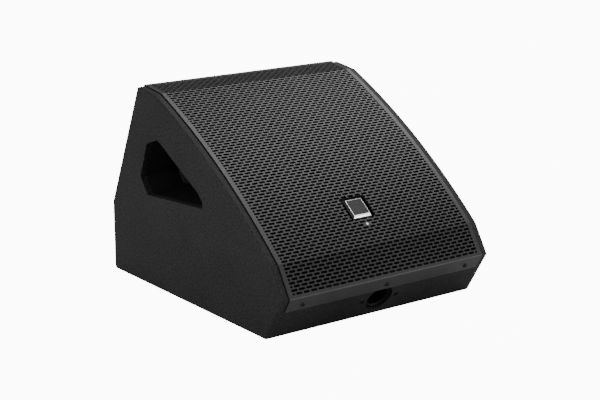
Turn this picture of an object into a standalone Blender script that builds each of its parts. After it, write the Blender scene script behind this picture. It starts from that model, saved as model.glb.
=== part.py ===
"""A powered stage monitor wedge with a coaxial driver, a curved perforated grille and a pole socket.

Run it with: blender --background --python part.py

The frame has +X to the right of someone who looks at the grille, -Y towards the grille's foot and +Z
up, with the origin on the floor under the middle of the wedge. Side outlines are worked out as (y, z)
pairs in the profile's own frame, whose origin is the bottom front edge of the cabinet.
"""

import math

import bmesh
import bpy
from mathutils import Matrix, Vector

MM = 0.001
NAME = "stage_monitor_wedge"
GAP = 0.3 * MM

# Driving sizes of the cabinet.
WIDTH = 400 * MM
SIDE_THICKNESS = 12.5 * MM
PANEL_THICKNESS = 15 * MM
BAFFLE_THICKNESS = 15 * MM
EDGE_ROUND = 2.5 * MM
CORNER_ROUND = 5.5 * MM
FOOT_HEIGHT = 3 * MM
FOOT_RADIUS = 14 * MM
FOOT_INSET = 45 * MM

# The side outline, as (y, z) from the bottom front edge.
FRONT_BOTTOM = Vector((0, 0))
NOSE = Vector((-43.0, 69.8)) * MM
GRILLE_CREASE = Vector((-14.7, 115.0)) * MM
TOP_CREASE = Vector((296.4, 316.7)) * MM
TOP_BACK = Vector((346.8, 323.2)) * MM
REAR_BEND = Vector((437.0, 116.2)) * MM
REAR_BOTTOM = Vector((437.0, 0.0)) * MM
GRILLE_RADIUS = 1190 * MM
ARC_STEPS = 14

# The grille, one bent sheet between the side panels.
GRILLE_PROUD = 1.7 * MM
GRILLE_SHEET = 1.2 * MM
GRILLE_SIDE_GAP = 1.0 * MM
FRONT_LIP = 25.5 * MM
REAR_LIP = 18 * MM
FOAM_THICKNESS = 5 * MM
FOAM_FRONT_MARGIN = 14 * MM
FOAM_REAR_MARGIN = 22 * MM
BADGE_ALONG = 121.5 * MM
BADGE_OPENING = (46.4 * MM, 41.0 * MM)
BADGE_PLATE = (36.4 * MM, 36 * MM)
BADGE_BEVEL = 3.0 * MM
BADGE_SINK = 2.7 * MM
LIGHT_ALONG = 89.9 * MM
LIGHT_RADIUS = 2.0 * MM
GRILLE_SCREW_OFFSET = 158 * MM
FRONT_SCREW_DROP = 14.7 * MM
REAR_SCREW_DROP = 9 * MM
SCREW_SHANK = 1.7 * MM
SCREW_HOLE = 2.1 * MM

# The baffle and the coaxial driver on it.
BAFFLE_DEPTH = 26 * MM
WOOFER_ALONG = 200 * MM
WOOFER_HOLE = 140 * MM
BOLT_CIRCLE = 148 * MM
BOLT_HOLE = 2.5 * MM
PORT_OFFSET = 140 * MM
PORT_ALONG = 7 * MM
PORT_RADIUS = 28 * MM
PORT_LENGTH = 54 * MM

# The pole socket in the front panel.
POLE_ALONG = 34 * MM
POLE_BORE = 18 * MM
POLE_DEPTH = 90 * MM
POLE_RECESS = 3.5 * MM
POLE_BOSS = 24 * MM
POLE_SCREW_OFFSET = 33 * MM

# The handle openings, as (y, z) corners, and their cups.
HANDLE_CORNERS = [
    Vector(corner) * MM
    for corner in (
        (323.0, 234.0),
        (292.0, 246.0),
        (284.0, 243.0),
        (174.7, 184.0),
        (163.5, 172.5),
        (163.7, 162.5),
        (324.5, 150.5),
        (344.8, 177.0),
    )
]
HANDLE_DEPTH = 52 * MM
HANDLE_WALL = 2.5 * MM
HANDLE_FLANGE = 5 * MM

# The amplifier in the slanted upper rear.
AMP_ALONG = 106 * MM
AMP_OPENING = (246 * MM, 148 * MM)
AMP_FLANGE = 8 * MM
AMP_RECESS = 14 * MM
AMP_SHEET = 2 * MM
AMP_COVER_DEPTH = 60 * MM
CONTROL_ROW = 34 * MM
POWER_ROW = -36 * MM
ENCODER_AT = -12 * MM
INPUT_AT = 42 * MM
OUTPUT_AT = 88 * MM
DISPLAY_AT = -72 * MM
INLET_AT = -76 * MM
SWITCH_AT = -12 * MM
ROCKER_PIVOT_RISE = 0.7 * MM
ROCKER_TILT = math.radians(7)
BOARD_TOP = -46 * MM
BOARD_THICKNESS = 1.6 * MM
LATCH_RISE = 14.6 * MM
REST = GAP - AMP_RECESS
ROUND_STEPS = 28


# ---------------------------------------------------------------- outline geometry


def unit(vector):
    return vector.normalized()


def left_of(direction):
    """The direction a quarter turn anticlockwise of this one."""
    return Vector((-direction.y, direction.x))


def crossing(point, direction, other_point, other_direction):
    """Where two lines in the profile plane meet."""
    across = left_of(other_direction)
    distance = (other_point - point).dot(across) / direction.dot(across)
    return point + direction * distance


def arc_between(start, end, radius, steps):
    """The points strictly between start and end on an arc that bulges to the left of the way there."""
    half = (end - start) / 2
    toward_centre = -left_of(unit(half))
    centre = start + half + toward_centre * math.sqrt(radius**2 - half.length_squared)
    first = math.atan2(*reversed(start - centre))
    last = math.atan2(*reversed(end - centre))
    angles = [first + (last - first) * step / steps for step in range(1, steps)]
    return [centre + Vector((math.cos(a), math.sin(a))) * radius for a in angles]


def offset_path(points, distance):
    """An open path moved sideways to its left, with mitred corners."""
    moved = []
    for index, point in enumerate(points):
        before = unit(point - points[index - 1]) if index else None
        after = unit(points[index + 1] - point) if index + 1 < len(points) else before
        before = before or after
        bisector = unit(left_of(before) + left_of(after))
        moved.append(point + bisector * (distance / bisector.dot(left_of(before))))
    return moved


def rounded(points, radii, steps=3):
    """A closed outline with some corners rounded; radii holds one radius for each point."""
    result = []
    for index, (corner, radius) in enumerate(zip(points, radii)):
        if not radius:
            result.append(corner)
            continue
        to_last = unit(points[index - 1] - corner)
        to_next = unit(points[(index + 1) % len(points)] - corner)
        half_angle = to_last.angle(to_next) / 2
        centre = corner + unit(to_last + to_next) * (radius / math.sin(half_angle))
        first = corner + to_last * (radius / math.tan(half_angle)) - centre
        turn = first.angle_signed(corner + to_next * (radius / math.tan(half_angle)) - centre)
        for step in range(steps + 1):
            result.append(centre + Matrix.Rotation(-turn * step / steps, 2) @ first)
    return result


def circle(radius, steps=ROUND_STEPS):
    angles = [math.tau * step / steps for step in range(steps)]
    return [Vector((math.cos(angle), math.sin(angle))) * radius for angle in angles]


def rectangle(width, height, radius=0.0):
    corners = [(-1, -1), (1, -1), (1, 1), (-1, 1)]
    points = [Vector((sx * width / 2, sy * height / 2)) for sx, sy in corners]
    return rounded(points, [radius] * 4) if radius else points


FRONT_UP = unit(NOSE - FRONT_BOTTOM)
FRONT_IN = -left_of(FRONT_UP)
CHORD_UP = unit(TOP_CREASE - GRILLE_CREASE)
CHORD_IN = -left_of(CHORD_UP)
REAR_DOWN = unit(REAR_BEND - TOP_BACK)
REAR_IN = -left_of(REAR_DOWN)
TOP_ALONG = unit(TOP_BACK - TOP_CREASE)

FACE_ARC = arc_between(GRILLE_CREASE, TOP_CREASE, GRILLE_RADIUS, ARC_STEPS)
FACE_PATH = [NOSE, GRILLE_CREASE, *FACE_ARC, TOP_CREASE, TOP_BACK]
GRILLE_PATH = [
    NOSE - FRONT_UP * FRONT_LIP,
    *FACE_PATH,
    TOP_BACK + REAR_DOWN * REAR_LIP,
]
GRILLE_OUTSIDE = offset_path(GRILLE_PATH, GRILLE_PROUD)
GRILLE_INSIDE = offset_path(GRILLE_PATH, GRILLE_PROUD - GRILLE_SHEET)
DEPTH_MIDDLE = (min(point.x for point in GRILLE_OUTSIDE) + REAR_BOTTOM.x) / 2


# ---------------------------------------------------------------- frames


def frame_at(point, up, x_sign=1):
    """A frame on a sloping face: local X across, local Y along up in the profile, local Z out of it."""
    across = Vector((x_sign, 0, 0))
    along = Vector((0, up.x, up.y))
    out = across.cross(along)
    origin = Vector((0, point.x - DEPTH_MIDDLE, point.y + FOOT_HEIGHT))
    turn = Matrix((across, along, out)).transposed().to_4x4()
    return Matrix.Translation(origin) @ turn


def profile_frame(x=0.0):
    """Local X is the profile's y, local Y its z, and local Z is the world's +X."""
    turn = Matrix(((0, 1, 0), (0, 0, 1), (1, 0, 0))).transposed().to_4x4()
    return Matrix.Translation((x, -DEPTH_MIDDLE, FOOT_HEIGHT)) @ turn


def along_face(distance):
    """(point, direction) on the face path, this far above the nose."""
    for start, end in zip(FACE_PATH, FACE_PATH[1:]):
        length = (end - start).length
        if distance <= length:
            return start + unit(end - start) * distance, unit(end - start)
        distance -= length
    raise ValueError("past the end of the face path")


FRONT_FRAME = frame_at(FRONT_BOTTOM + FRONT_UP * POLE_ALONG, FRONT_UP)
BAFFLE_POINT = GRILLE_CREASE + CHORD_IN * BAFFLE_DEPTH
WOOFER_FRAME = frame_at(BAFFLE_POINT + CHORD_UP * WOOFER_ALONG, CHORD_UP)
REAR_FRAME = frame_at(REAR_BEND - REAR_DOWN * AMP_ALONG, -REAR_DOWN, x_sign=-1)
AMP_FLOOR = -AMP_RECESS


def shifted(frame, x=0.0, y=0.0, z=0.0):
    return frame @ Matrix.Translation((x, y, z))


# ---------------------------------------------------------------- collections and materials


def clear_scene():
    for obj in list(bpy.data.objects):
        bpy.data.objects.remove(obj, do_unlink=True)


def new_collection(name):
    collection = bpy.data.collections.new(name)
    bpy.context.scene.collection.children.link(collection)
    return collection


clear_scene()
PARTS = new_collection(NAME)
CUTTERS = new_collection("cutters")

FINISHES = {
    "textured_coating": ((0.030, 0.030, 0.032), 0.75, 0.0),
    "edge_coating": ((0.012, 0.012, 0.013), 0.60, 0.0),
    "grille_black": ((0.025, 0.025, 0.027), 0.38, 0.6),
    "foam": ((0.006, 0.006, 0.006), 1.0, 0.0),
    "badge_metal": ((0.55, 0.56, 0.58), 0.30, 1.0),
    "light_pipe": ((0.85, 0.87, 0.90), 0.25, 0.0),
    "moulded_black": ((0.015, 0.015, 0.016), 0.55, 0.0),
    "rubber": ((0.02, 0.02, 0.02), 0.9, 0.0),
    "screw_black": ((0.03, 0.03, 0.03), 0.35, 0.9),
    "cast_frame": ((0.05, 0.05, 0.055), 0.5, 0.8),
    "paper_cone": ((0.02, 0.02, 0.02), 0.85, 0.0),
    "cloth_edge": ((0.03, 0.03, 0.03), 0.9, 0.0),
    "spider_cloth": ((0.45, 0.28, 0.08), 0.95, 0.0),
    "copper": ((0.72, 0.36, 0.18), 0.35, 1.0),
    "plated_steel": ((0.45, 0.46, 0.47), 0.35, 1.0),
    "ferrite": ((0.05, 0.05, 0.055), 0.8, 0.2),
    "titanium": ((0.55, 0.53, 0.50), 0.3, 1.0),
    "amp_plate": ((0.035, 0.036, 0.038), 0.5, 0.7),
    "board_green": ((0.02, 0.16, 0.06), 0.5, 0.0),
    "core_yellow": ((0.75, 0.62, 0.12), 0.6, 0.0),
    "window": ((0.02, 0.05, 0.09), 0.08, 0.0),
    "socket_nickel": ((0.35, 0.35, 0.36), 0.3, 1.0),
    "lead_sleeve": ((0.015, 0.015, 0.015), 0.6, 0.0),
}


def material(finish):
    found = bpy.data.materials.get(finish)
    if found:
        return found
    colour, roughness, metallic = FINISHES[finish]
    made = bpy.data.materials.new(finish)
    made.use_nodes = True
    shader = made.node_tree.nodes["Principled BSDF"]
    shader.inputs["Base Color"].default_value = (*colour, 1.0)
    shader.inputs["Roughness"].default_value = roughness
    shader.inputs["Metallic"].default_value = metallic
    made.diffuse_color = (*colour, 1.0)
    return made


# ---------------------------------------------------------------- making pieces


def add_object(name, mesh, frame, finish, collection=None):
    """A mesh object placed by its own location and rotation; a helper has no finish."""
    obj = bpy.data.objects.new(name, mesh)
    (collection or PARTS).objects.link(obj)
    obj.matrix_world = frame
    if finish:
        mesh.materials.append(material(finish))
    else:
        obj.hide_render = True
        obj.display_type = "WIRE"
    return obj


def helper(name, mesh, frame):
    return add_object(name, mesh, frame, None, CUTTERS)


def shade(obj, angle=30):
    obj.data.shade_smooth()
    obj.data.set_sharp_from_angle(angle=math.radians(angle))


def plate_mesh(name, outlines, low, high):
    """A flat outline, with any holes as further outlines, thickened from low to high along local Z."""
    curve = bpy.data.curves.new(name, "CURVE")
    curve.dimensions = "2D"
    curve.fill_mode = "BOTH"
    curve.extrude = (high - low) / 2
    for outline in outlines:
        spline = curve.splines.new("POLY")
        spline.points.add(len(outline) - 1)
        spline.use_cyclic_u = True
        for point, corner in zip(spline.points, outline):
            point.co = (corner.x, corner.y, 0, 1)
    source = bpy.data.objects.new(name, curve)
    PARTS.objects.link(source)
    graph = bpy.context.evaluated_depsgraph_get()
    mesh = bpy.data.meshes.new_from_object(source.evaluated_get(graph))
    bpy.data.objects.remove(source)
    shape = bmesh.new()
    shape.from_mesh(mesh)
    bmesh.ops.remove_doubles(shape, verts=shape.verts, dist=MM / 100)
    bmesh.ops.dissolve_limit(
        shape, angle_limit=math.radians(0.1), verts=shape.verts, edges=shape.edges
    )
    bmesh.ops.translate(shape, verts=shape.verts, vec=(0, 0, (high + low) / 2))
    bmesh.ops.recalc_face_normals(shape, faces=shape.faces)
    shape.to_mesh(mesh)
    shape.free()
    return mesh


def plate(name, outlines, low, high, frame, finish):
    return add_object(name, plate_mesh(name, outlines, low, high), frame, finish)


def prism(name, outline, half_width, finish):
    """A profile outline carried across the wedge, from side to side."""
    return plate(name, [outline], -half_width, half_width, profile_frame(), finish)


def turned_mesh(name, profile, closed):
    mesh = bpy.data.meshes.new(name)
    shape = bmesh.new()
    points = [shape.verts.new((radius, 0, height)) for radius, height in profile]
    for start, end in zip(points, points[1:]):
        shape.edges.new((start, end))
    if closed:
        shape.edges.new((points[-1], points[0]))
    shape.to_mesh(mesh)
    shape.free()
    return mesh


def add_screw(obj, steps):
    screw = obj.modifiers.new("Screw", "SCREW")
    screw.axis = "Z"
    screw.steps = steps
    screw.render_steps = steps
    screw.use_merge_vertices = True
    screw.merge_threshold = MM / 100
    screw.use_smooth_shade = True


def turned(name, profile, frame, finish, steps=ROUND_STEPS, closed=True):
    """A profile of (radius, height) pairs, running down its outer side, turned about local Z."""
    obj = add_object(name, turned_mesh(name, profile, closed), frame, finish)
    add_screw(obj, steps)
    return obj


def turned_helper(name, profile, frame, steps=ROUND_STEPS, closed=False):
    obj = helper(name, turned_mesh(name, profile, closed), frame)
    add_screw(obj, steps)
    return obj


def disc_profile(radius, top, bottom):
    return [(0, top), (radius, top), (radius, bottom), (0, bottom)]


def add_boolean(obj, other, operation):
    boolean = obj.modifiers.new(operation.title(), "BOOLEAN")
    boolean.operation = operation
    boolean.object = other


def cut(obj, cutter):
    add_boolean(obj, cutter, "DIFFERENCE")


def join(obj, other):
    add_boolean(obj, other, "UNION")


def add_bevel(obj, width, segments=2):
    bevel = obj.modifiers.new("Bevel", "BEVEL")
    bevel.width = width
    bevel.segments = segments
    bevel.limit_method = "ANGLE"
    bevel.angle_limit = math.radians(40)


def box_mesh(name, size):
    mesh = bpy.data.meshes.new(name)
    shape = bmesh.new()
    bmesh.ops.create_cube(shape, size=1)
    bmesh.ops.scale(shape, vec=size, verts=shape.verts)
    shape.to_mesh(mesh)
    shape.free()
    return mesh


def box(name, size, frame, finish):
    return add_object(name, box_mesh(name, size), frame, finish)


def box_helper(name, size, frame):
    return helper(name, box_mesh(name, size), frame)


def hole(obj, name, radius, top, bottom, frame, steps=16):
    cut(obj, turned_helper(name, disc_profile(radius, top, bottom), frame, steps))


def dish(name, rings, thickness, frame, finish):
    """A shell that follows outlines with equal point counts, ending in a floor, thickened to its back.

    rings holds (outline, height) pairs, from the rim's outer edge down to the floor.
    """
    mesh = bpy.data.meshes.new(name)
    shape = bmesh.new()
    loops = [[shape.verts.new((p.x, p.y, height)) for p in outline] for outline, height in rings]
    count = len(loops[0])
    for upper, lower in zip(loops, loops[1:]):
        for index in range(count):
            following = (index + 1) % count
            shape.faces.new((upper[index], upper[following], lower[following], lower[index]))
    shape.faces.new(loops[-1])
    shape.to_mesh(mesh)
    shape.free()
    obj = add_object(name, mesh, frame, finish)
    solidify = obj.modifiers.new("Solidify", "SOLIDIFY")
    solidify.thickness = thickness
    solidify.offset = -1
    solidify.use_even_offset = True
    return obj


# ---------------------------------------------------------------- cabinet

INNER_HALF = WIDTH / 2 - SIDE_THICKNESS - GAP


def make_side_panels():
    corners = [FRONT_BOTTOM, *FACE_PATH, REAR_BEND, REAR_BOTTOM]
    radii = [0.0] * len(corners)
    radii[-1] = CORNER_ROUND
    radii[len(FACE_PATH)] = CORNER_ROUND
    outline = rounded(corners, radii)
    opening = rounded(HANDLE_CORNERS, [2 * MM] * len(HANDLE_CORNERS), steps=1)
    for side, sign in (("left", -1), ("right", 1)):
        outer = sign * WIDTH / 2
        inner = outer - sign * SIDE_THICKNESS
        low, high = sorted((outer, inner))
        panel = plate(
            f"side_panel_{side}",
            [outline, opening],
            low,
            high,
            profile_frame(),
            "textured_coating",
        )
        weights = panel.data.attributes.new("bevel_weight_edge", "FLOAT", "EDGE")
        for edge in panel.data.edges:
            ends = [panel.data.vertices[index].co for index in edge.vertices]
            if all(abs(end.z - outer) < GAP for end in ends):
                weights.data[edge.index].value = float(not near_opening(ends[0], opening))
        bevel = panel.modifiers.new("Bevel", "BEVEL")
        bevel.width = EDGE_ROUND
        bevel.segments = 2
        bevel.limit_method = "WEIGHT"
        bevel.use_clamp_overlap = False
        shade(panel, 35)


def near_opening(point, opening):
    return any((point.xy - corner).length < GAP for corner in opening)


def make_bottom_panel():
    """The floor of the cabinet, which butts against the back of the front panel."""
    front = FRONT_BOTTOM + FRONT_IN * (PANEL_THICKNESS + GAP)
    level = Vector((1, 0))
    corners = [
        crossing(front, FRONT_UP, FRONT_BOTTOM, level),
        crossing(front, FRONT_UP, Vector((0, PANEL_THICKNESS)), level),
        REAR_BOTTOM + Vector((0, PANEL_THICKNESS)),
        REAR_BOTTOM,
    ]
    outline = rounded(corners, [0, 0, 0, CORNER_ROUND])
    prism("bottom_panel", outline, INNER_HALF, "textured_coating")


def floor_line():
    """A point on the line that the walls stand on, just above the bottom panel."""
    return Vector((0, PANEL_THICKNESS + GAP)), Vector((1, 0))


def make_front_panel():
    inner = FRONT_BOTTOM + FRONT_IN * PANEL_THICKNESS
    top = NOSE - FRONT_UP * MM
    outline = [
        FRONT_BOTTOM,
        top,
        top + FRONT_IN * PANEL_THICKNESS,
        crossing(inner, FRONT_UP, FRONT_BOTTOM, Vector((1, 0))),
    ]
    panel = prism("front_panel", outline, INNER_HALF, "edge_coating")
    hole(panel, "pole_hole", POLE_BOSS + GAP, MM, -PANEL_THICKNESS - MM, FRONT_FRAME, ROUND_STEPS)
    for side, sign in (("left", -1), ("right", 1)):
        at = shifted(FRONT_FRAME, x=sign * POLE_SCREW_OFFSET)
        hole(panel, f"socket_screw_hole_{side}", SCREW_HOLE, MM, -PANEL_THICKNESS - MM, at)
        hole(panel, f"socket_screw_sink_{side}", 4.6 * MM, MM, -2.6 * MM, at)
    return panel


def make_rear_panels():
    upper_inner = TOP_BACK + REAR_IN * PANEL_THICKNESS
    lower_inner = REAR_BOTTOM - Vector((PANEL_THICKNESS, 0))
    mitre = crossing(upper_inner, REAR_DOWN, lower_inner, Vector((0, 1)))
    top = TOP_BACK - Vector((0, GAP))
    upper = [
        crossing(TOP_BACK, REAR_DOWN, top, TOP_ALONG),
        REAR_BEND - REAR_DOWN * GAP,
        mitre - REAR_DOWN * GAP,
        crossing(upper_inner, REAR_DOWN, top, TOP_ALONG),
    ]
    panel = prism("rear_upper_panel", upper, INNER_HALF, "textured_coating")
    opening = plate_mesh(
        "amp_opening", [rectangle(*AMP_OPENING, 6 * MM)], -PANEL_THICKNESS - MM, MM
    )
    cut(panel, helper("amp_opening", opening, REAR_FRAME))
    lower = [
        REAR_BEND,
        crossing(REAR_BOTTOM, Vector((0, 1)), *floor_line()),
        crossing(lower_inner, Vector((0, 1)), *floor_line()),
        mitre,
    ]
    prism("rear_lower_panel", lower, INNER_HALF, "textured_coating")
    return panel


def make_baffle():
    lower_face = BAFFLE_POINT + CHORD_IN * BAFFLE_THICKNESS
    front_inner = FRONT_BOTTOM + FRONT_IN * (PANEL_THICKNESS + GAP)
    rear_inner = TOP_BACK + REAR_IN * (PANEL_THICKNESS + GAP)
    outline = [
        crossing(BAFFLE_POINT, CHORD_UP, front_inner, FRONT_UP),
        crossing(BAFFLE_POINT, CHORD_UP, rear_inner, REAR_DOWN),
        crossing(lower_face, CHORD_UP, rear_inner, REAR_DOWN),
        crossing(lower_face, CHORD_UP, front_inner, FRONT_UP),
    ]
    baffle = prism("baffle", outline, INNER_HALF, "edge_coating")
    below = -BAFFLE_THICKNESS - MM
    hole(baffle, "woofer_hole", WOOFER_HOLE, MM, below, WOOFER_FRAME, 48)
    for side, sign in (("left", -1), ("right", 1)):
        at = shifted(WOOFER_FRAME, x=sign * PORT_OFFSET, y=PORT_ALONG - WOOFER_ALONG)
        hole(baffle, f"port_hole_{side}", PORT_RADIUS + GAP, MM, below, at, 24)
    for number, at in enumerate(bolt_frames(), 1):
        hole(baffle, f"bolt_hole_{number}", BOLT_HOLE, MM, below, at, 12)


def make_feet():
    frame = Matrix.Translation((0, -DEPTH_MIDDLE, 0))
    profile = [
        (0, FOOT_HEIGHT - GAP),
        (FOOT_RADIUS, FOOT_HEIGHT - GAP),
        (FOOT_RADIUS, MM),
        (FOOT_RADIUS - MM, 0),
        (0, 0),
    ]
    for end, y in (("front", 0.0), ("rear", REAR_BOTTOM.x)):
        for side, sign in (("left", -1), ("right", 1)):
            x = sign * (WIDTH / 2 - FOOT_INSET)
            inset = y + math.copysign(FOOT_INSET, REAR_BOTTOM.x / 2 - y)
            turned(
                f"foot_{end}_{side}",
                profile,
                shifted(frame, x=x, y=inset),
                "rubber",
                steps=24,
                closed=False,
            )


# ---------------------------------------------------------------- grille and badge


def make_grille(front_panel, rear_panel):
    half = INNER_HALF + GAP - GRILLE_SIDE_GAP
    outline = GRILLE_OUTSIDE + GRILLE_INSIDE[::-1]
    grille = prism("grille", outline, half, "grille_black")
    badge_point, badge_up = along_face(BADGE_ALONG)
    badge_frame = frame_at(badge_point + left_of(badge_up) * GRILLE_PROUD, badge_up)
    cut(grille, box_helper("badge_opening", (*BADGE_OPENING, 8 * MM), badge_frame))
    light_point, light_up = along_face(LIGHT_ALONG)
    light_frame = frame_at(light_point + left_of(light_up) * GRILLE_PROUD, light_up)
    hole(grille, "light_hole", LIGHT_RADIUS + GAP, 4 * MM, -4 * MM, light_frame)
    front_row = frame_at(NOSE - FRONT_UP * FRONT_SCREW_DROP, FRONT_UP)
    rear_row = frame_at(TOP_BACK + REAR_DOWN * REAR_SCREW_DROP, -REAR_DOWN, x_sign=-1)
    front_sides = {"left": -1, "centre": 0, "right": 1}
    rear_sides = {"left": -1, "right": 1}
    for row, frame, panel, sides in (
        ("front", front_row, front_panel, front_sides),
        ("rear", rear_row, rear_panel, rear_sides),
    ):
        for side, sign in sides.items():
            at = shifted(frame, x=sign * GRILLE_SCREW_OFFSET * frame.col[0].x)
            hole(grille, f"lip_hole_{row}_{side}", SCREW_HOLE, 4 * MM, -MM, at, 12)
            hole(panel, f"pilot_{row}_{side}", SCREW_HOLE, MM, -12 * MM, at, 12)
            make_screw(f"grille_screw_{row}_{side}", shifted(at, z=GRILLE_PROUD + GAP), 11 * MM)
    make_foam(half, light_frame)
    make_badge(badge_frame)
    make_status_light(light_frame)


def make_screw(name, frame, length, head=3.8 * MM, height=1.8 * MM):
    """A button-head screw whose head rests on the frame's plane."""
    profile = [
        (0, height),
        (head * 0.55, height * 0.9),
        (head, height * 0.3),
        (head, 0),
        (SCREW_SHANK, 0),
        (SCREW_SHANK, -length),
        (0, -length - 1.5 * MM),
    ]
    return turned(name, profile, frame, "screw_black", steps=12, closed=False)


def make_foam(half, light_frame):
    start = NOSE + unit(GRILLE_CREASE - NOSE) * FOAM_FRONT_MARGIN
    end = TOP_BACK - TOP_ALONG * FOAM_REAR_MARGIN
    path = [start, *FACE_PATH[1:-1], end]
    outside = offset_path(path, -GAP)
    inside = offset_path(path, -GAP - FOAM_THICKNESS)
    foam = prism("grille_foam", outside + inside[::-1], half - 2 * MM, "foam")
    hole(foam, "light_gap", LIGHT_RADIUS + MM, 4 * MM, -16 * MM, light_frame)
    badge_point, badge_up = along_face(BADGE_ALONG)
    pocket = frame_at(badge_point, badge_up)
    cut(foam, box_helper("badge_pocket", (56 * MM, 56 * MM, 24 * MM), pocket))


def make_badge(frame):
    """A blank plate, bevelled all round, on a moulded tray behind the grille's square opening."""
    width, height = BADGE_OPENING
    seat = -BADGE_SINK
    outline = rectangle(width + 5.2 * MM, height + 5.2 * MM)
    holder = plate("badge_holder", [outline], seat - 3.7 * MM, seat - 2.2 * MM, frame, "moulded_black")
    boss = plate_mesh("badge_boss", [rectangle(26 * MM, 26 * MM, 2 * MM)], seat - 3 * MM, seat)
    join(holder, helper("badge_boss", boss, frame))
    for side in (-1, 1):
        rail = (2.4 * MM, height, 4 * MM)
        spot = shifted(frame, x=side * (width / 2 + 1.4 * MM), z=-GRILLE_SHEET - GAP - 2 * MM)
        join(holder, box_helper(f"badge_rail_{side}", rail, spot))
    width, height = BADGE_PLATE
    base = seat + GAP
    rings = [(0.0, base), (0.0, base + 0.6 * MM), (BADGE_BEVEL, base + BADGE_BEVEL)]
    mesh = bpy.data.meshes.new("badge_plate")
    shape = bmesh.new()
    loops = []
    for inset, level in rings:
        outline = rectangle(width - 2 * inset, height - 2 * inset, 1.5 * MM)
        loops.append([shape.verts.new((p.x, p.y, level)) for p in outline])
    for lower, upper in zip(loops, loops[1:]):
        bmesh.ops.bridge_loops(shape, edges=loop_edges(shape, lower) + loop_edges(shape, upper))
    shape.faces.new(loops[0][::-1])
    shape.faces.new(loops[-1])
    bmesh.ops.recalc_face_normals(shape, faces=shape.faces)
    shape.to_mesh(mesh)
    shape.free()
    add_object("badge_plate", mesh, frame, "badge_metal")


def loop_edges(shape, loop):
    """The closed ring of edges through these vertices, made where it isn't there yet."""
    pairs = zip(loop, loop[1:] + loop[:1])
    return [shape.edges.get(pair) or shape.edges.new(pair) for pair in pairs]


def make_status_light(frame):
    """A clear rod from the baffle to the grille, with a domed end."""
    length = 31 * MM
    profile = [
        (0, 0.8 * MM),
        (1.2 * MM, 0.5 * MM),
        (LIGHT_RADIUS, -0.3 * MM),
        (LIGHT_RADIUS, -length + 4 * MM),
        (3.6 * MM, -length + 4 * MM),
        (3.6 * MM, -length),
        (0, -length),
    ]
    turned("status_light", profile, frame, "light_pipe", steps=16, closed=False)


# ---------------------------------------------------------------- handles, ports and pole socket


def make_handle_cups():
    """Moulded cups behind the openings, shallow towards the front and deep under the grip."""
    outline = rounded(HANDLE_CORNERS, [2 * MM] * len(HANDLE_CORNERS), steps=1)
    middle = sum(outline, Vector((0, 0))) / len(outline)
    floor_middle = middle + Vector((16, -4)) * MM
    for side, sign in (("left", -1), ("right", 1)):
        frame = profile_frame(sign * (WIDTH / 2 - SIDE_THICKNESS - GAP))
        flange = [p + unit(p - middle) * HANDLE_FLANGE for p in outline]
        floor = [floor_middle + (p - middle) * 0.62 for p in outline]
        rings = [(flange, 0.0), (outline, 0.0), (floor, -sign * HANDLE_DEPTH)]
        cup = dish(f"handle_cup_{side}", rings, HANDLE_WALL, frame, "moulded_black")
        cup.modifiers["Solidify"].offset = -sign
        shade(cup, 40)


def make_ports():
    bore = PORT_RADIUS - 2.5 * MM
    profile = [
        (PORT_RADIUS + 4 * MM, GAP + 1.5 * MM),
        (PORT_RADIUS + 4 * MM, GAP),
        (PORT_RADIUS, GAP),
        (PORT_RADIUS, -PORT_LENGTH),
        (bore, -PORT_LENGTH),
        (bore, -6 * MM),
        (bore + 3 * MM, GAP + 1.5 * MM),
    ]
    for side, sign in (("left", -1), ("right", 1)):
        at = shifted(WOOFER_FRAME, x=sign * PORT_OFFSET, y=PORT_ALONG - WOOFER_ALONG)
        turned(f"port_tube_{side}", profile, at, "moulded_black", steps=24)


def make_pole_socket():
    back = -PANEL_THICKNESS - GAP
    tube = 21 * MM
    profile = [
        (POLE_BOSS, -POLE_RECESS),
        (POLE_BOSS, back - 4 * MM),
        (tube, back - 7 * MM),
        (tube, -POLE_RECESS - POLE_DEPTH - 3 * MM),
        (0, -POLE_RECESS - POLE_DEPTH - 3 * MM),
        (0, -POLE_RECESS - POLE_DEPTH),
        (POLE_BORE, -POLE_RECESS - POLE_DEPTH),
        (POLE_BORE, -POLE_RECESS - 2 * MM),
        (POLE_BORE + 1.5 * MM, -POLE_RECESS),
    ]
    body = turned("pole_socket", profile, FRONT_FRAME, "moulded_black")
    flange_outline = [rectangle(84 * MM, 44 * MM, 6 * MM), circle(POLE_BORE + 2 * MM)]
    flange = plate_mesh("socket_flange", flange_outline, back - 3.5 * MM, back)
    join(body, helper("socket_flange", flange, FRONT_FRAME))
    for side, sign in (("left", -1), ("right", 1)):
        at = shifted(FRONT_FRAME, x=sign * POLE_SCREW_OFFSET)
        hole(body, f"flange_hole_{side}", SCREW_HOLE, back + MM, 2 * back, at, 12)
        sunk = shifted(at, z=-2.3 * MM)
        make_screw(f"pole_socket_screw_{side}", sunk, 15 * MM, head=4.2 * MM, height=2.1 * MM)


# ---------------------------------------------------------------- coaxial driver


def bolt_frames():
    """Frames round the driver's bolt circle, between the windows of its basket."""
    out = Matrix.Translation((BOLT_CIRCLE, 0, 0))
    turns = [Matrix.Rotation(math.radians(angle), 4, "Z") for angle in (45, 135, 225, 315)]
    return [WOOFER_FRAME @ turn @ out for turn in turns]


def mm_profile(*pairs):
    return [(radius * MM, height * MM) for radius, height in pairs]


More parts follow.
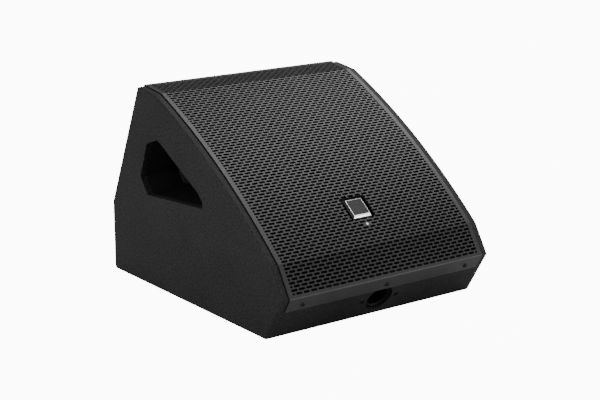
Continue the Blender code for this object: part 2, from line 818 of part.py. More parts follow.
def make_basket():
    profile = mm_profile(
        (155, 4.8), (155, 0.3), (139.5, 0.3), (139.5, -14), (80, -60), (80, -63.5),
        (43, -63.5), (43, -60.5), (76, -60.5), (134.5, -13), (134.5, 4.8),
    )
    basket = turned("woofer_basket", profile, WOOFER_FRAME, "cast_frame", steps=32)
    for number in range(6):
        turn = Matrix.Rotation(math.radians(60 * number), 4, "Z")
        at = WOOFER_FRAME @ turn @ Matrix.Translation((107 * MM, 0, -35 * MM))
        cut(basket, box_helper(f"basket_window_{number + 1}", (46 * MM, 62 * MM, 62 * MM), at))
    for number, at in enumerate(bolt_frames(), 1):
        hole(basket, f"flange_bolt_hole_{number}", BOLT_HOLE, 8 * MM, -2 * MM, at, 12)
        bolt = mm_profile(
            (0, 8.1), (3.4, 8.0), (4.2, 7.2), (4.2, 5.1), (2.1, 5.1), (2.1, -18), (0, -18)
        )
        turned(f"woofer_bolt_{number}", bolt, at, "screw_black", steps=12, closed=False)
    join_terminal(basket)


def join_terminal(basket):
    """A tag block riveted to the rib of the basket that faces the amplifier."""
    slope = math.atan2(46, 59.5)
    at = WOOFER_FRAME @ Matrix.Translation((0, 110 * MM, -36.8 * MM))
    at = at @ Matrix.Rotation(slope, 4, "X")
    join(basket, box_helper("terminal_block", (16 * MM, 14 * MM, 8 * MM), shifted(at, z=-3 * MM)))


def surround_profile():
    """A thin half roll between the cone's edge and the basket's flange."""
    roll_centre, roll_radius, sheet = 127.0, 6.6, 0.8
    outer = [(141, 5.9), (141, 5.1)]
    angles = [math.pi * step / 4 for step in range(5)]
    under = [
        (roll_centre + (roll_radius - sheet) * math.cos(a), 4.3 + (roll_radius - sheet) * math.sin(a))
        for a in angles
    ]
    over = [
        (roll_centre + roll_radius * math.cos(a), 4.3 + roll_radius * math.sin(a))
        for a in reversed(angles)
    ]
    under[0] = (roll_centre + roll_radius - sheet, 5.1)
    over[-1] = (roll_centre + roll_radius, 5.9)
    return mm_profile(*outer, *under, (117.5, 3.5), (117.5, 4.3), *over)


def make_moving_parts():
    cone = mm_profile((119, 2.4), (119, 1.2), (75, -29), (41, -46), (39, -46), (74, -27.6), (117, 2.4))
    turned("woofer_cone", cone, WOOFER_FRAME, "paper_cone")
    coil = mm_profile((38.4, -44), (38.4, -76), (37.3, -76), (37.3, -44))
    turned("voice_coil", coil, WOOFER_FRAME, "copper")
    turned("woofer_surround", surround_profile(), WOOFER_FRAME, "cloth_edge", steps=28)
    rolls = [(41.8 + 8.6 * step, -50 + 1.5 * (-1) ** step) for step in range(6)]
    lower = [(radius, height - 0.8) for radius, height in rolls]
    spider = mm_profile(*rolls[::-1][:1], *lower[::-1], *rolls[:-1])
    turned("spider", spider, WOOFER_FRAME, "spider_cloth", steps=24)


def make_motor():
    gasket = mm_profile((143, 9.0), (143, 6.2), (134.5, 6.2), (134.5, 9.0))
    turned("woofer_gasket", gasket, WOOFER_FRAME, "rubber")
    top_plate = mm_profile((74, -63.9), (74, -72), (39.7, -72), (39.7, -63.9))
    turned("top_plate", top_plate, WOOFER_FRAME, "plated_steel")
    magnet = mm_profile((78, -72.3), (78, -92), (48, -92), (48, -72.3))
    turned("magnet", magnet, WOOFER_FRAME, "ferrite")
    yoke = mm_profile((36, -63.9), (36, -92.3), (74, -92.3), (74, -100), (17, -100), (17, -63.9))
    turned("back_plate", yoke, WOOFER_FRAME, "plated_steel")


def make_high_driver():
    horn = mm_profile(
        (35.5, -30), (35.5, -32.5), (22, -56), (16.6, -62.5), (16.6, -100),
        (12.7, -100), (12.7, -66), (19, -56), (32.5, -32.5), (33.5, -30),
    )
    turned("hf_horn", horn, WOOFER_FRAME, "moulded_black")
    magnet = mm_profile((44, -100.4), (44, -126), (12.7, -126), (12.7, -100.4))
    turned("hf_magnet", magnet, WOOFER_FRAME, "ferrite", steps=28)
    dome = [(0, -134.4), (9, -133.4), (17, -130.4), (22, -127.6), (27, -127.2)]
    inside = [(radius, height + 0.5) for radius, height in dome]
    diaphragm = mm_profile(*inside, *dome[::-1])
    turned("hf_diaphragm", diaphragm, WOOFER_FRAME, "titanium", steps=24, closed=False)
    cover = mm_profile((44, -126.4), (44, -140), (0, -140), (0, -138), (42, -138), (42, -126.4))
    turned("hf_cover", cover, WOOFER_FRAME, "moulded_black", steps=28)


# ---------------------------------------------------------------- amplifier


def make_amp_panel():
    width, height = AMP_OPENING
    mouth = rectangle(width - 8 * MM, height - 8 * MM, 5 * MM)
    rim = rectangle(width + 2 * AMP_FLANGE, height + 2 * AMP_FLANGE, 5 * MM)
    top = GAP + AMP_SHEET
    rings = [(rim, top), (mouth, top), (mouth, AMP_FLOOR)]
    panel = dish("amp_panel", rings, AMP_SHEET, REAR_FRAME, "amp_plate")
    below = AMP_FLOOR - AMP_SHEET
    for number, (sx, sy) in enumerate(((-1, -1), (1, -1), (1, 1), (-1, 1)), 1):
        at = shifted(REAR_FRAME, x=sx * 100 * MM, y=sy * 60 * MM)
        post = disc_profile(3 * MM, below + MM, BOARD_TOP + GAP)
        join(panel, turned_helper(f"standoff_{number}", post, at, 10))
    for name, x, y, radius in (
        ("encoder_hole", ENCODER_AT, CONTROL_ROW, 3.6 * MM),
        ("input_hole", INPUT_AT, CONTROL_ROW, 12.2 * MM),
        ("output_hole", OUTPUT_AT, CONTROL_ROW, 12.2 * MM),
    ):
        hole(panel, name, radius, AMP_FLOOR + MM, below - MM, shifted(REAR_FRAME, x=x, y=y), 20)
    latch = shifted(REAR_FRAME, x=INPUT_AT, y=CONTROL_ROW + LATCH_RISE, z=AMP_FLOOR)
    cut(panel, box_helper("latch_slot", (9 * MM, 5 * MM, 8 * MM), latch))
    inlet = shifted(REAR_FRAME, x=INLET_AT, y=POWER_ROW, z=AMP_FLOOR)
    cut(panel, box_helper("inlet_slot", (28.6 * MM, 20.6 * MM, 8 * MM), inlet))
    switch = shifted(REAR_FRAME, x=SWITCH_AT, y=POWER_ROW, z=AMP_FLOOR)
    cut(panel, box_helper("switch_slot", (28.6 * MM, 22.6 * MM, 8 * MM), switch))


def make_amp_inside():
    width, height = AMP_OPENING
    outline = rectangle(width - 8 * MM, height - 8 * MM, 4 * MM)
    top = AMP_FLOOR - AMP_SHEET - GAP
    cover = [(outline, top), (outline, top - AMP_COVER_DEPTH)]
    shell = dish("amp_cover", cover, 1.2 * MM, REAR_FRAME, "plated_steel")
    shell.modifiers["Solidify"].offset = 1
    board = rectangle(214 * MM, 126 * MM, 2 * MM)
    bottom = BOARD_TOP - BOARD_THICKNESS
    circuit = plate("circuit_board", [board], bottom, BOARD_TOP, REAR_FRAME, "board_green")
    for number, x in enumerate((-10 * MM, 18 * MM), 1):
        at = shifted(REAR_FRAME, x=x, y=-28 * MM, z=bottom)
        can = disc_profile(12 * MM, MM, -24 * MM)
        join(circuit, turned_helper(f"soldered_capacitor_{number}", can, at, 20))
    core = shifted(REAR_FRAME, x=-60 * MM, y=-24 * MM, z=bottom - GAP - 12 * MM)
    transformer = box("transformer", (44 * MM, 36 * MM, 24 * MM), core, "core_yellow")
    add_bevel(transformer, 2 * MM)
    make_heat_sink(shifted(REAR_FRAME, x=52 * MM, y=30 * MM, z=bottom - GAP))


def make_heat_sink(frame):
    """A comb-shaped extrusion on the board: fins on a base."""
    pitch, fin, base, tall, count = 8 * MM, 2 * MM, 4 * MM, 22 * MM, 7
    width = pitch * (count - 1) + fin
    outline = [Vector((-width / 2, 0))]
    for number in range(count):
        left = -width / 2 + number * pitch
        outline += [Vector((left, -tall)), Vector((left + fin, -tall))]
        if number + 1 < count:
            outline += [Vector((left + fin, -base)), Vector((left + pitch, -base))]
    outline.append(Vector((width / 2, 0)))
    turn = Matrix.Rotation(math.radians(90), 4, "X")
    plate("heat_sink", [outline], -22 * MM, 22 * MM, frame @ turn, "plated_steel")


def make_encoder():
    at = shifted(REAR_FRAME, x=ENCODER_AT, y=CONTROL_ROW)
    back = AMP_FLOOR - AMP_SHEET
    shaft = [
        (0, -4.5 * MM),
        (3.0 * MM, -4.5 * MM),
        (3.0 * MM, back - 2 * MM),
        (6.0 * MM, back - 2 * MM),
        (6.0 * MM, back - 8 * MM),
        (0, back - 8 * MM),
    ]
    turned("encoder_shaft", shaft, at, "plated_steel", steps=20, closed=False)
    knob = [
        (0, -1.0 * MM),
        (10.5 * MM, -1.0 * MM),
        (11.5 * MM, -2.0 * MM),
        (12.0 * MM, AMP_FLOOR + 1.8 * MM),
        (3.3 * MM, AMP_FLOOR + 1.8 * MM),
        (3.3 * MM, -4.0 * MM),
        (0, -4.0 * MM),
    ]
    turned("encoder_knob", knob, at, "rubber", steps=28, closed=False)


def make_display():
    at = shifted(REAR_FRAME, x=DISPLAY_AT, y=CONTROL_ROW)
    outline = rectangle(62 * MM, 36 * MM, 2 * MM)
    window = plate("display_window", [outline], REST, REST + 2.5 * MM, at, "window")
    shade(window)


def make_connector_body(name, at):
    """A round socket housing with a square face plate, as on a panel connector."""
    profile = [
        (11.8 * MM, REST + 2.2 * MM),
        (11.8 * MM, -36 * MM),
        (0, -36 * MM),
        (0, REST - 15 * MM),
        (9.6 * MM, REST - 15 * MM),
        (9.6 * MM, REST + 2.2 * MM),
    ]
    body = turned(name, profile, at, "socket_nickel", steps=24)
    face = [rectangle(26 * MM, 26 * MM, 3 * MM), circle(11 * MM, 24)]
    join(body, helper(f"{name}_face", plate_mesh(f"{name}_face", face, REST, REST + 2.2 * MM), at))
    return body


def make_connectors():
    at = shifted(REAR_FRAME, x=INPUT_AT, y=CONTROL_ROW)
    jack = make_connector_body("input_jack", at)
    core = [
        (8.2 * MM, REST),
        (8.2 * MM, REST - 16 * MM),
        (3.3 * MM, REST - 16 * MM),
        (3.3 * MM, REST),
    ]
    join(jack, turned_helper("jack_core", core, at, 20, closed=True))
    throat = disc_profile(3.3 * MM, REST - 14 * MM, REST - 19 * MM)
    cut(jack, turned_helper("jack_throat", throat, at, 20))
    latch = shifted(at, y=LATCH_RISE, z=AMP_FLOOR - 0.5 * MM)
    tab = box("input_latch", (8 * MM, 2.4 * MM, 6.0 * MM), shifted(latch, y=0.3 * MM), "moulded_black")
    add_bevel(tab, 0.4 * MM, 1)
    at = shifted(REAR_FRAME, x=OUTPUT_AT, y=CONTROL_ROW)
    output = make_connector_body("output_connector", at)
    for number, angle in enumerate((90, 210, 330), 1):
        pin = disc_profile(1.2 * MM, REST - 5 * MM, REST - 16 * MM)
        spot = at @ Matrix.Rotation(math.radians(angle), 4, "Z") @ Matrix.Translation((5.2 * MM, 0, 0))
        join(output, turned_helper(f"output_pin_{number}", pin, spot, 10))


def make_mains_inlet():
    at = shifted(REAR_FRAME, x=INLET_AT, y=POWER_ROW)
    outline = rectangle(28 * MM, 20 * MM, 2 * MM)
    body = plate("mains_inlet", [outline], REST - 20 * MM, REST + 2.5 * MM, at, "moulded_black")
    flange = plate_mesh("inlet_flange", [rectangle(50 * MM, 24 * MM, 4 * MM)], REST, REST + 2.5 * MM)
    join(body, helper("inlet_flange", flange, at))
    recess = box_helper("inlet_recess", (24.4 * MM, 16.4 * MM, 20 * MM), shifted(at, z=REST - 6.5 * MM))
    cut(body, recess)
    for number, (x, y) in enumerate(((-7, -2), (0, 2), (7, -2)), 1):
        spot = shifted(at, x * MM, y * MM, REST - 11.5 * MM)
        join(body, box_helper(f"inlet_blade_{number}", (2 * MM, 4 * MM, 12 * MM), spot))


def make_power_switch():
    at = shifted(REAR_FRAME, x=SWITCH_AT, y=POWER_ROW)
    outline = rectangle(28 * MM, 22 * MM, 1 * MM)
    body = plate("power_switch_frame", [outline], REST - 18 * MM, REST + 2 * MM, at, "moulded_black")
    flange = plate_mesh("switch_flange", [rectangle(32 * MM, 26 * MM, 2 * MM)], REST, REST + 2 * MM)
    join(body, helper("switch_flange", flange, at))
    cut(body, box_helper("switch_pocket", (24 * MM, 18 * MM, 16 * MM), shifted(at, z=REST - 4 * MM)))
    corners = ((-11.2, 2.9), (-11.0, -3.0), (11.0, -3.0), (11.2, 2.9), (0, 1.5))
    outline = [Vector(corner) * MM for corner in corners]
    pivot = shifted(at, z=REST + ROCKER_PIVOT_RISE) @ Matrix.Rotation(ROCKER_TILT, 4, "Y")
    stand = Matrix.Rotation(math.radians(90), 4, "X")
    half = 8.4 * MM
    plate("power_rocker", [outline], -half, half, pivot @ stand, "moulded_black")


def make_speaker_lead():
    """The internal pair from the amplifier's cover to the tags on the driver, clear of the magnet."""
    start = shifted(REAR_FRAME, x=0, y=-30 * MM, z=AMP_FLOOR - AMP_SHEET - GAP - AMP_COVER_DEPTH - 2 * MM)
    end = WOOFER_FRAME @ Vector((0, 122 * MM, -50 * MM))
    begin = start.translation
    middle = (begin + end) / 2 + Vector((0, 0, -22 * MM))
    leave = start @ Vector((0, 0, -18 * MM))
    curve = bpy.data.curves.new("speaker_lead", "CURVE")
    curve.dimensions = "3D"
    curve.bevel_depth = 2.2 * MM
    curve.bevel_resolution = 2
    curve.use_fill_caps = True
    spline = curve.splines.new("POLY")
    points = [bezier_point(begin, leave, middle, end, step / 16) for step in range(17)]
    spline.points.add(len(points) - 1)
    for knot, point in zip(spline.points, points):
        knot.co = (*point, 1)
    obj = bpy.data.objects.new("speaker_lead", curve)
    PARTS.objects.link(obj)
    curve.materials.append(material("lead_sleeve"))


def bezier_point(a, b, c, d, t):
    """A point on the cubic curve with these four control points."""
    s = 1 - t
    return a * s**3 + b * (3 * s * s * t) + c * (3 * s * t * t) + d * t**3


# ---------------------------------------------------------------- assembly


def build():
    make_side_panels()
    make_bottom_panel()
    front_panel = make_front_panel()
    rear_panel = make_rear_panels()
    make_baffle()
    make_feet()
    make_grille(front_panel, rear_panel)
    make_handle_cups()
    make_ports()
    make_pole_socket()
    make_basket()
    make_moving_parts()
    make_motor()
    make_high_driver()
    make_amp_panel()
    make_amp_inside()
    make_encoder()
    make_display()
    make_connectors()
    make_mains_inlet()
    make_power_switch()
    make_speaker_lead()


build()
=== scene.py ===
import math

import bmesh
import bpy
from mathutils import Matrix, Vector, noise


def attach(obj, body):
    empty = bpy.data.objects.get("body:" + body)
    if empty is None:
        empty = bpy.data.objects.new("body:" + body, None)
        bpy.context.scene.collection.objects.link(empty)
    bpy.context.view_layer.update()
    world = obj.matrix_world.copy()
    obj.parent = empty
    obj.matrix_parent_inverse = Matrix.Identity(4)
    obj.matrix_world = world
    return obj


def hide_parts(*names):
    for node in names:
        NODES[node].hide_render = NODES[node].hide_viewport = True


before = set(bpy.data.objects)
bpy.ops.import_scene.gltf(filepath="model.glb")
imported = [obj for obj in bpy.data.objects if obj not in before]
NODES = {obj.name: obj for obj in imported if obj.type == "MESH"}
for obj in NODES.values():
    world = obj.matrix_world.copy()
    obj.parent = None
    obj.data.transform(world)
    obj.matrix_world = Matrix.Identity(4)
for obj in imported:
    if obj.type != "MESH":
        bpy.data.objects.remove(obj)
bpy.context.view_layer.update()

MM = 0.001
GAP = 0.3 * MM
AMBIENT = 0.22
BACKDROP = 11.0

# ---------------------------------------------------------------- camera, light and floor


def aimed(obj, position, target):
    obj.location = position
    obj.rotation_euler = (Vector(target) - Vector(position)).to_track_quat("-Z", "Y").to_euler()
    bpy.context.scene.collection.objects.link(obj)
    return obj


def make_camera():
    data = bpy.data.cameras.new("camera")
    data.sensor_width = 36.0
    data.lens = 91.8
    camera = bpy.data.objects.new("camera", data)
    aimed(camera, (-1.41167, -1.92011, 0.77722), (-0.003, -0.016, 0.14464))
    bpy.context.scene.camera = camera


def softbox(name, position, target, size, power):
    data = bpy.data.lights.new(name, "AREA")
    data.shape = "RECTANGLE"
    data.size, data.size_y = size
    data.energy = power
    aimed(bpy.data.objects.new(name, data), position, target)


def seen_by_camera(tree, low, high):
    """A strength that is high where the camera looks straight at a surface, and low elsewhere."""
    path = tree.nodes.new("ShaderNodeLightPath")
    strength = tree.nodes.new("ShaderNodeMapRange")
    strength.inputs["To Min"].default_value = low
    strength.inputs["To Max"].default_value = high
    tree.links.new(path.outputs["Is Camera Ray"], strength.inputs["Value"])
    return strength.outputs["Result"]


def make_studio():
    """A white sweep that reads as paper, a dim room, two softboxes and a low card in front."""
    world = bpy.data.worlds.new("studio")
    bpy.context.scene.world = world
    world.use_nodes = True
    background = world.node_tree.nodes["Background"]
    background.inputs["Color"].default_value = (1.0, 1.0, 1.0, 1.0)
    strength = seen_by_camera(world.node_tree, AMBIENT, BACKDROP)
    world.node_tree.links.new(strength, background.inputs["Strength"])
    softbox("overhead_softbox", (3.2, 1.0, 4.1), (0.0, 0.05, 0.26), (2.8, 2.4), 86)
    softbox("side_softbox", (-2.9, -0.2, 1.3), (0.0, 0.0, 0.15), (1.8, 1.8), 34)
    softbox("low_front_card", (1.55, -2.15, 0.35), (0.0, -0.15, 0.13), (1.5, 0.55), 15)
    mesh = bpy.data.meshes.new("floor")
    reach = 14.0
    corners = [(-reach, -reach, 0), (reach, -reach, 0), (reach, reach, 0), (-reach, reach, 0)]
    mesh.from_pydata(corners, [], [(0, 1, 2, 3)])
    floor = bpy.data.objects.new("floor", mesh)
    bpy.context.scene.collection.objects.link(floor)
    floor.location.z = -0.0002
    paper = bpy.data.materials.new("pale_floor")
    paper.use_nodes = True
    shader = paper.node_tree.nodes["Principled BSDF"]
    shader.inputs["Base Color"].default_value = (0.75, 0.75, 0.75, 1.0)
    shader.inputs["Roughness"].default_value = 0.9
    shader.inputs["Specular IOR Level"].default_value = 0.1
    shader.inputs["Emission Color"].default_value = (1.0, 1.0, 1.0, 1.0)
    glow = seen_by_camera(paper.node_tree, 0.0, BACKDROP)
    paper.node_tree.links.new(glow, shader.inputs["Emission Strength"])
    mesh.materials.append(paper)


make_camera()
make_studio()

# ---------------------------------------------------------------- materials


class Surface:
    """A material under construction: its shader, and short ways to add texture nodes."""

    def __init__(self, name, rough, metallic=0.0, specular=0.5):
        self.material = bpy.data.materials.new(name)
        self.material.use_nodes = True
        self.nodes = self.material.node_tree.nodes
        self.links = self.material.node_tree.links
        self.shader = self.nodes["Principled BSDF"]
        self.set("Roughness", rough)
        self.set("Metallic", metallic)
        self.set("Specular IOR Level", specular)
        self.place = self.nodes.new("ShaderNodeTexCoord").outputs["Object"]

    def set(self, name, value):
        self.shader.inputs[name].default_value = value

    def feed(self, name, output):
        self.links.new(output, self.shader.inputs[name])

    def noise(self, scale, detail=2.0, stretch=None):
        node = self.nodes.new("ShaderNodeTexNoise")
        node.inputs["Scale"].default_value = scale
        node.inputs["Detail"].default_value = detail
        self.links.new(self.stretched(stretch), node.inputs["Vector"])
        return node.outputs["Fac"]

    def stretched(self, stretch):
        if not stretch:
            return self.place
        mapping = self.nodes.new("ShaderNodeMapping")
        mapping.inputs["Scale"].default_value = stretch
        self.links.new(self.place, mapping.inputs["Vector"])
        return mapping.outputs["Vector"]

    def cells(self, scale, feature="F1"):
        node = self.nodes.new("ShaderNodeTexVoronoi")
        node.feature = feature
        node.inputs["Scale"].default_value = scale
        self.links.new(self.place, node.inputs["Vector"])
        return node.outputs["Distance"]

    def waves(self, scale, direction="X", stretch=None):
        node = self.nodes.new("ShaderNodeTexWave")
        node.bands_direction = direction
        node.inputs["Scale"].default_value = scale
        node.inputs["Distortion"].default_value = 0.0
        self.links.new(self.stretched(stretch), node.inputs["Vector"])
        return node.outputs["Fac"]

    def ramp(self, source, low, high, start=0.3, end=0.7):
        """A grey or coloured value that runs from low to high as source goes from start to end."""
        node = self.nodes.new("ShaderNodeMapRange")
        wide = isinstance(low, tuple)
        if wide:
            node.data_type = "FLOAT_VECTOR"
        kind = "VECTOR" if wide else "VALUE"
        sockets = [s for s in node.inputs if s.enabled and s.type == kind]
        values = (None, start, end, low, high)
        if wide:
            values = (None, (start,) * 3, (end,) * 3, low, high)
        for socket, value in zip(sockets, values):
            if value is not None:
                socket.default_value = value
        self.links.new(source, sockets[0])
        output = "Vector" if wide else "Result"
        return node.outputs[output]

    def math(self, operation, first, second):
        node = self.nodes.new("ShaderNodeMath")
        node.operation = operation
        for socket, value in zip(node.inputs, (first, second)):
            if isinstance(value, (int, float)):
                socket.default_value = value
            else:
                self.links.new(value, socket)
        return node.outputs[0]

    def bump(self, height, distance, strength=1.0):
        node = self.nodes.new("ShaderNodeBump")
        node.inputs["Strength"].default_value = strength
        node.inputs["Distance"].default_value = distance
        self.links.new(height, node.inputs["Height"])
        previous = self.shader.inputs["Normal"]
        if previous.is_linked:
            self.links.new(previous.links[0].from_socket, node.inputs["Normal"])
        self.links.new(node.outputs["Normal"], previous)
        return self


def grey(value, tint=(1.0, 1.0, 1.04)):
    return tuple(value * part for part in tint)


def coating(name, tone, rough, grain=420, depth=0.25, specular=0.5):
    """Sprayed textured coating: fine pebbles over a slightly cloudy black."""
    made = Surface(name, rough, specular=specular)
    pebbles = made.noise(grain, 3.0)
    fine = made.noise(grain * 2.6, 2.0)
    cloud = made.noise(9, 3.0)
    mixed = made.math("ADD", made.math("MULTIPLY", pebbles, 0.7), made.math("MULTIPLY", cloud, 0.3))
    made.feed("Base Color", made.ramp(mixed, grey(tone * 0.3), grey(tone * 2.1), 0.4, 0.62))
    made.feed("Roughness", made.ramp(cloud, rough - 0.06, rough + 0.08))
    made.bump(pebbles, depth * MM, 0.9)
    made.bump(fine, depth * 0.35 * MM, 0.7)
    return made.material


def moulded(name, tone, rough, grain=700, depth=0.06, specular=0.5):
    """Injection-moulded plastic with a spark-eroded grain."""
    made = Surface(name, rough, specular=specular)
    grainy = made.noise(grain, 2.0)
    cloud = made.noise(25, 2.0)
    made.feed("Base Color", made.ramp(cloud, grey(tone * 0.8), grey(tone * 1.25)))
    made.feed("Roughness", made.ramp(grainy, rough - 0.08, rough + 0.08))
    made.bump(grainy, depth * MM, 0.8)
    return made.material


def metal(name, colour, rough, brushed=None, depth=0.02, metallic=1.0, variation=0.12):
    """Plain, cast or brushed metal; brushed is the stretch of its scratches."""
    made = Surface(name, rough, metallic)
    scratches = made.noise(700, 2.0, brushed) if brushed else made.noise(420, 3.0)
    cloud = made.noise(30, 2.0)
    low = tuple(part * (1 - variation) for part in colour)
    high = tuple(min(1.0, part * (1 + variation)) for part in colour)
    made.feed("Base Color", made.ramp(cloud, low, high))
    made.feed("Roughness", made.ramp(scratches, rough - 0.07, rough + 0.1))
    made.bump(scratches, depth * MM, 0.6)
    return made.material


def powder_paint():
    """Satin powder coat on the steel grille, with a faint orange peel."""
    made = Surface("grille_powder_coat", 0.46, specular=0.8)
    peel = made.noise(330, 2.0)
    cloud = made.noise(14, 2.0)
    made.feed("Base Color", made.ramp(cloud, grey(0.036), grey(0.046)))
    made.feed("Roughness", made.ramp(peel, 0.42, 0.50))
    made.bump(peel, 0.05 * MM, 0.7)
    return made.material


def foam_material():
    """Open-cell acoustic foam."""
    made = Surface("open_cell_foam", 1.0, specular=0.1)
    pores = made.cells(900)
    made.feed("Base Color", made.ramp(pores, grey(0.001), grey(0.006), 0.1, 0.6))
    made.bump(pores, 0.5 * MM)
    return made.material


def woven(name, colour, rough, pitch=1400, depth=0.15):
    """Resin-treated cloth: two crossed sets of threads."""
    made = Surface(name, rough, specular=0.25)
    threads = made.math("MAXIMUM", made.waves(pitch, "X"), made.waves(pitch, "Y"))
    dark = tuple(part * 0.55 for part in colour)
    made.feed("Base Color", made.ramp(threads, dark, colour, 0.2, 0.9))
    made.feed("Roughness", made.ramp(made.noise(60), rough - 0.08, rough + 0.05))
    made.bump(threads, depth * MM)
    return made.material


def pulp():
    """Pressed paper pulp of the cone."""
    made = Surface("cone_pulp", 0.85, specular=0.2)
    fibres = made.noise(260, 8.0, (1.0, 3.0, 1.0))
    made.feed("Base Color", made.ramp(fibres, grey(0.008), grey(0.03), 0.35, 0.65))
    made.feed("Roughness", made.ramp(fibres, 0.78, 0.92))
    made.bump(fibres, 0.2 * MM)
    return made.material


def rubber_material():
    made = Surface("foot_rubber", 0.85, specular=0.3)
    dust = made.noise(160, 6.0)
    made.feed("Base Color", made.ramp(dust, grey(0.010), grey(0.024)))
    made.feed("Roughness", made.ramp(dust, 0.75, 0.92))
    made.bump(made.noise(900, 2.0), 0.06 * MM)
    return made.material


def winding():
    """Enamelled copper wire in tight turns."""
    made = Surface("copper_winding", 0.3, 1.0)
    turns = made.waves(1200, "Z")
    made.feed("Base Color", made.ramp(turns, (0.42, 0.16, 0.07), (0.80, 0.38, 0.19)))
    made.feed("Roughness", made.ramp(turns, 0.42, 0.26))
    made.bump(turns, 0.12 * MM)
    return made.material


def board():
    """Solder mask over copper tracks."""
    made = Surface("solder_mask", 0.4)
    tracks = made.cells(130)
    made.feed("Base Color", made.ramp(tracks, (0.012, 0.11, 0.035), (0.02, 0.19, 0.06), 0.3, 0.4))
    made.feed("Roughness", made.ramp(made.noise(200), 0.35, 0.5))
    made.bump(tracks, 0.04 * MM)
    return made.material


def window_material():
    """Smoked glass over a dark display."""
    made = Surface("display_glass", 0.07, specular=0.6)
    rows = made.waves(420, "Z")
    made.feed("Base Color", made.ramp(rows, (0.004, 0.008, 0.016), (0.008, 0.016, 0.03)))
    made.feed("Roughness", made.ramp(made.noise(40, 4.0), 0.05, 0.12))
    made.bump(made.noise(15), 0.02 * MM, 0.3)
    return made.material


def lens_material():
    """The lit, milky end of the light pipe."""
    made = Surface("light_pipe_lens", 0.2)
    glow = made.noise(300, 2.0)
    made.feed("Base Color", made.ramp(glow, (0.75, 0.80, 0.86), (0.9, 0.94, 1.0)))
    made.feed("Roughness", made.ramp(glow, 0.15, 0.3))
    made.set("Emission Color", (0.86, 0.93, 1.0, 1.0))
    made.set("Emission Strength", 0.9)
    made.bump(glow, 0.02 * MM, 0.4)
    return made.material


def lacquer(name, colour, rough):
    """A smooth coloured part, such as tape or a cable sleeve."""
    made = Surface(name, rough)
    cloud = made.noise(80, 3.0)
    low = tuple(part * 0.8 for part in colour)
    made.feed("Base Color", made.ramp(cloud, low, colour))
    made.feed("Roughness", made.ramp(cloud, rough - 0.05, rough + 0.08))
    made.bump(made.noise(500), 0.04 * MM, 0.5)
    return made.material


FINISHES = {
    "textured_coating": coating("sprayed_coating", 0.017, 0.62, grain=330, depth=0.5),
    "edge_coating": coating("sprayed_coating_front", 0.016, 0.66, depth=0.16, specular=0.5),
    "grille_black": powder_paint(),
    "foam": foam_material(),
    "badge_metal": metal("badge_silver", (0.80, 0.80, 0.80), 0.25, depth=0.002),
    "light_pipe": lens_material(),
    # tone 0.004 is darker than black plastic: painted shade, so that the handle cups and other moulded
    # recesses render as dark as shaded hollows
    "moulded_black": moulded("moulded_black", 0.004, 0.6, specular=0.3),
    "rubber": rubber_material(),
    "screw_black": metal("black_oxide", (0.045, 0.045, 0.047), 0.34, metallic=0.85),
    "cast_frame": metal("cast_frame", (0.06, 0.06, 0.063), 0.5, depth=0.12, metallic=0.6),
    "paper_cone": pulp(),
    "cloth_edge": woven("treated_cloth", grey(0.03), 0.75),
    "spider_cloth": woven("spider_cloth", (0.42, 0.25, 0.08), 0.9),
    "copper": winding(),
    "plated_steel": metal("zinc_plate", (0.52, 0.53, 0.54), 0.33, (1.0, 1.0, 6.0)),
    "ferrite": moulded("ferrite", 0.035, 0.7, 300, 0.15),
    "titanium": metal("titanium_foil", (0.56, 0.54, 0.51), 0.28, (1.0, 6.0, 1.0)),
    "amp_plate": coating("amplifier_paint", 0.016, 0.5, 900, 0.06),
    "board_green": board(),
    "core_yellow": lacquer("winding_tape", (0.74, 0.60, 0.10), 0.5),
    "window": window_material(),
    "socket_nickel": metal("satin_nickel", (0.36, 0.36, 0.37), 0.3),
    "lead_sleeve": lacquer("lead_sleeve", grey(0.018), 0.5),
}
# the badge's own dark face colour, also used on its left and right metal bevels as a painted dark
# reflection
BADGE_FACE_AND_PAINTED_FLANKS = moulded("badge_face_and_painted_flanks", 0.022, 0.5, 300, 0.08)

for node in NODES.values():
    for material_slot in node.material_slots:
        material_slot.material = FINISHES[material_slot.material.name.split(".")[0]]

# ---------------------------------------------------------------- the side profile and its frames

SIDE_THICKNESS = 12.5 * MM
HALF_WIDTH = 200 * MM
DEPTH_MIDDLE = 195.9994 * MM
FOOT_HEIGHT = 3 * MM
FRONT_BOTTOM = Vector((0, 0))
NOSE = Vector((-43.0, 69.8)) * MM
LOWER_CREASE = Vector((-14.7, 115.0)) * MM
UPPER_CREASE = Vector((296.4, 316.7)) * MM
TOP_BACK = Vector((346.8, 323.2)) * MM
REAR_BEND = Vector((437.0, 116.2)) * MM
REAR_BOTTOM = Vector((437.0, 0.0)) * MM
FACE_RADIUS = 1190 * MM
EDGE_ROUND = 2.5 * MM
PROUD = 1.7 * MM
SHEET = 1.0 * MM
HANDLE_RIM = 0.8 * MM


def left_of(direction):
    return Vector((-direction.y, direction.x))


def arc_points(start, end, radius, steps):
    """Points strictly between start and end on an arc that bulges to the left of the way there."""
    half = (end - start) / 2
    inward = -left_of(half.normalized())
    centre = start + half + inward * math.sqrt(radius**2 - half.length_squared)
    first = math.atan2(start.y - centre.y, start.x - centre.x)
    last = math.atan2(end.y - centre.y, end.x - centre.x)
    angles = [first + (last - first) * step / steps for step in range(1, steps)]
    return [centre + Vector((math.cos(a), math.sin(a))) * radius for a in angles]


def rounded(points, radii, steps=6):
    """A closed outline with some of its corners rounded."""
    result = []
    for index, (corner, radius) in enumerate(zip(points, radii)):
        if not radius:
            result.append(corner)
            continue
        back = (points[index - 1] - corner).normalized()
        ahead = (points[(index + 1) % len(points)] - corner).normalized()
        half = back.angle(ahead) / 2
        centre = corner + (back + ahead).normalized() * (radius / math.sin(half))
        first = corner + back * (radius / math.tan(half)) - centre
        turn = first.angle_signed(corner + ahead * (radius / math.tan(half)) - centre)
        for step in range(steps + 1):
            result.append(centre + Matrix.Rotation(-turn * step / steps, 2) @ first)
    return result


